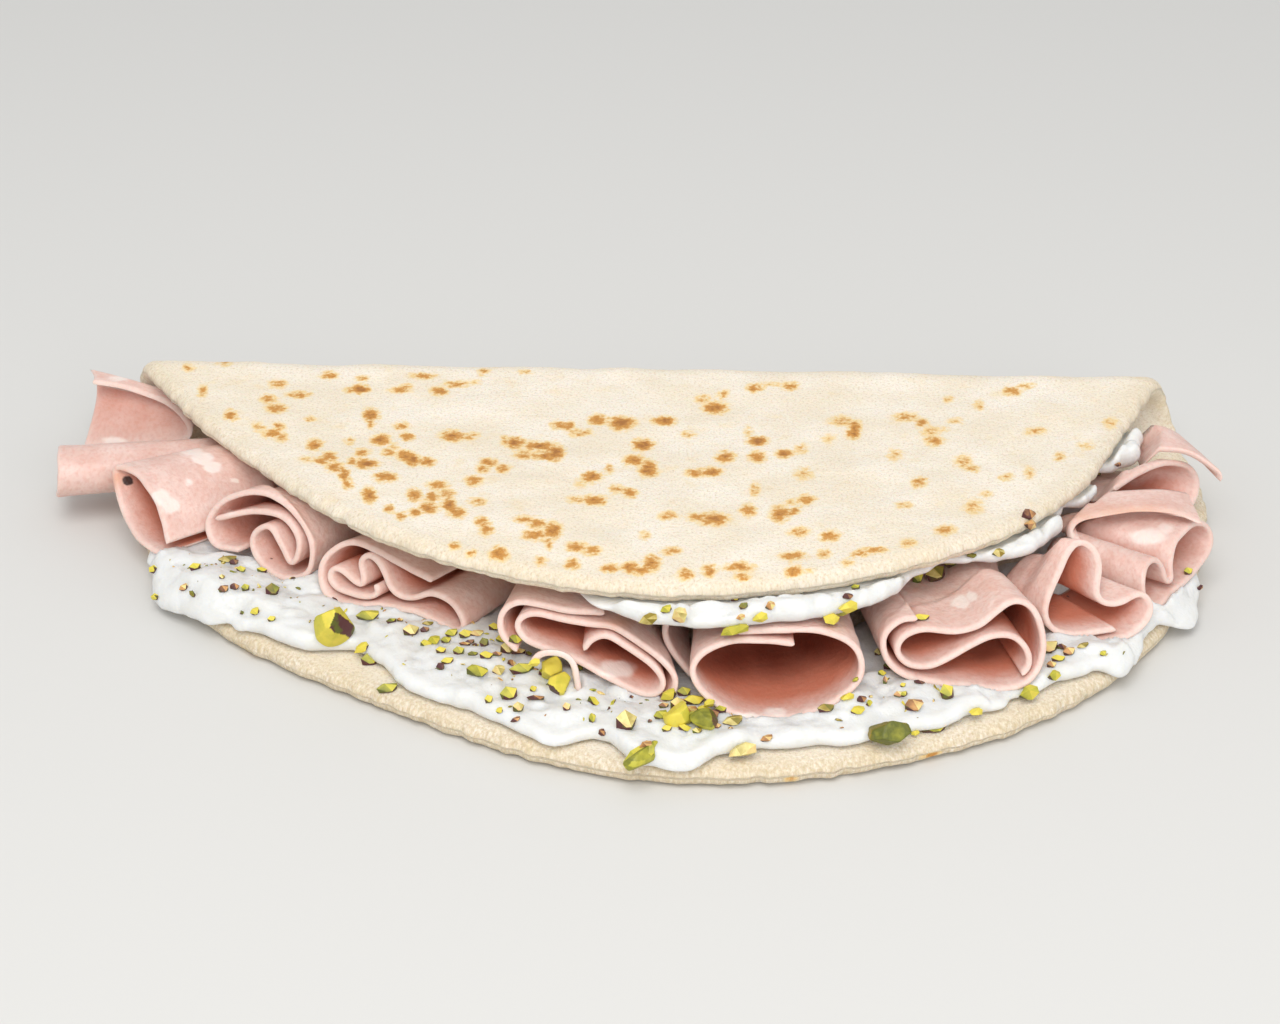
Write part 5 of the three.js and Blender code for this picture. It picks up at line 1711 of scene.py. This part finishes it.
class PIADINA_OT_slices(bpy.types.Operator):
    """Makes the folded slices of mortadella"""

    bl_idname = "piadina.slices"
    bl_label = "Slices"

    def execute(self, context):
        sizes, colours = settings()
        look = mortadella_look(colours)
        for number, shape in SLICES.items():
            mesh = slice_mesh(number, shape, sizes)
            add_piece(f"slice_{number:02}", mesh, look, f"mortadella_{number:02}")
        return {"FINISHED"}


class PIADINA_OT_kernels(bpy.types.Operator):
    """Makes the large pieces of pistachio"""

    bl_idname = "piadina.kernels"
    bl_label = "Kernels"

    def execute(self, context):
        _, colours = settings()
        look = pistachio_look(colours)
        for number, shape in KERNELS.items():
            mesh = kernel_mesh(number, shape)
            add_piece(f"kernel_{number:02}", mesh, look, f"pistachio_{number:02}")
        return {"FINISHED"}


class PIADINA_OT_bits(bpy.types.Operator):
    """Scatters the small bits of pistachio"""

    bl_idname = "piadina.bits"
    bl_label = "Bits"

    def execute(self, context):
        sizes, _ = settings()
        surface = Surface(pieces_named("baked_bread", "spread_", "slice_"))
        look = bpy.data.materials["Chopped pistachio"]
        mesh = bits_mesh(bpy.data.objects["spread_lower"], surface, sizes, look)
        add_piece("pistachio_bits", mesh, look, "cream_lower")
        return {"FINISHED"}


class PIADINA_OT_stage(bpy.types.Operator):
    """Sets up the floor, the lights and the camera"""

    bl_idname = "piadina.stage"
    bl_label = "Stage"

    def execute(self, context):
        add_floor()
        add_camera()
        for name, light in LIGHTS.items():
            add_area_light(name, **light)
        world = bpy.data.worlds.new("Soft room")
        world.use_nodes = True
        for label, value in ROOM.items():
            world.node_tree.nodes["Background"].inputs[label].default_value = value
        context.scene.world = world
        context.scene.view_settings.view_transform = "Standard"
        return {"FINISHED"}


OPERATORS = (
    PIADINA_OT_bread,
    PIADINA_OT_slices,
    PIADINA_OT_cream,
    PIADINA_OT_kernels,
    PIADINA_OT_bits,
    PIADINA_OT_stage,
)


class PIADINA_PT_panel(bpy.types.Panel):
    bl_label = "Piadina"
    bl_idname = "PIADINA_PT_panel"
    bl_space_type = "VIEW_3D"
    bl_region_type = "UI"
    bl_category = "Piadina"

    def draw(self, context):
        for group in (context.scene.piadina_sizes, context.scene.piadina_colours):
            for name in group.bl_rna.properties.keys():
                if name not in ("rna_type", "name"):
                    self.layout.prop(group, name)
        for operator in OPERATORS:
            self.layout.operator(operator.bl_idname)


CLASSES = (PIADINA_PG_sizes, PIADINA_PG_colours, *OPERATORS, PIADINA_PT_panel)


def register():
    for each in CLASSES:
        bpy.utils.register_class(each)
    bpy.types.Scene.piadina_sizes = bpy.props.PointerProperty(type=PIADINA_PG_sizes)
    bpy.types.Scene.piadina_colours = bpy.props.PointerProperty(type=PIADINA_PG_colours)


def unregister():
    del bpy.types.Scene.piadina_colours
    del bpy.types.Scene.piadina_sizes
    for each in reversed(CLASSES):
        bpy.utils.unregister_class(each)


def main():
    register()
    bpy.ops.piadina.bread()
    bpy.ops.piadina.slices()
    bpy.ops.piadina.cream()
    bpy.ops.piadina.kernels()
    bpy.ops.piadina.bits()
    bpy.ops.piadina.stage()


if __name__ == "__main__":
    main()
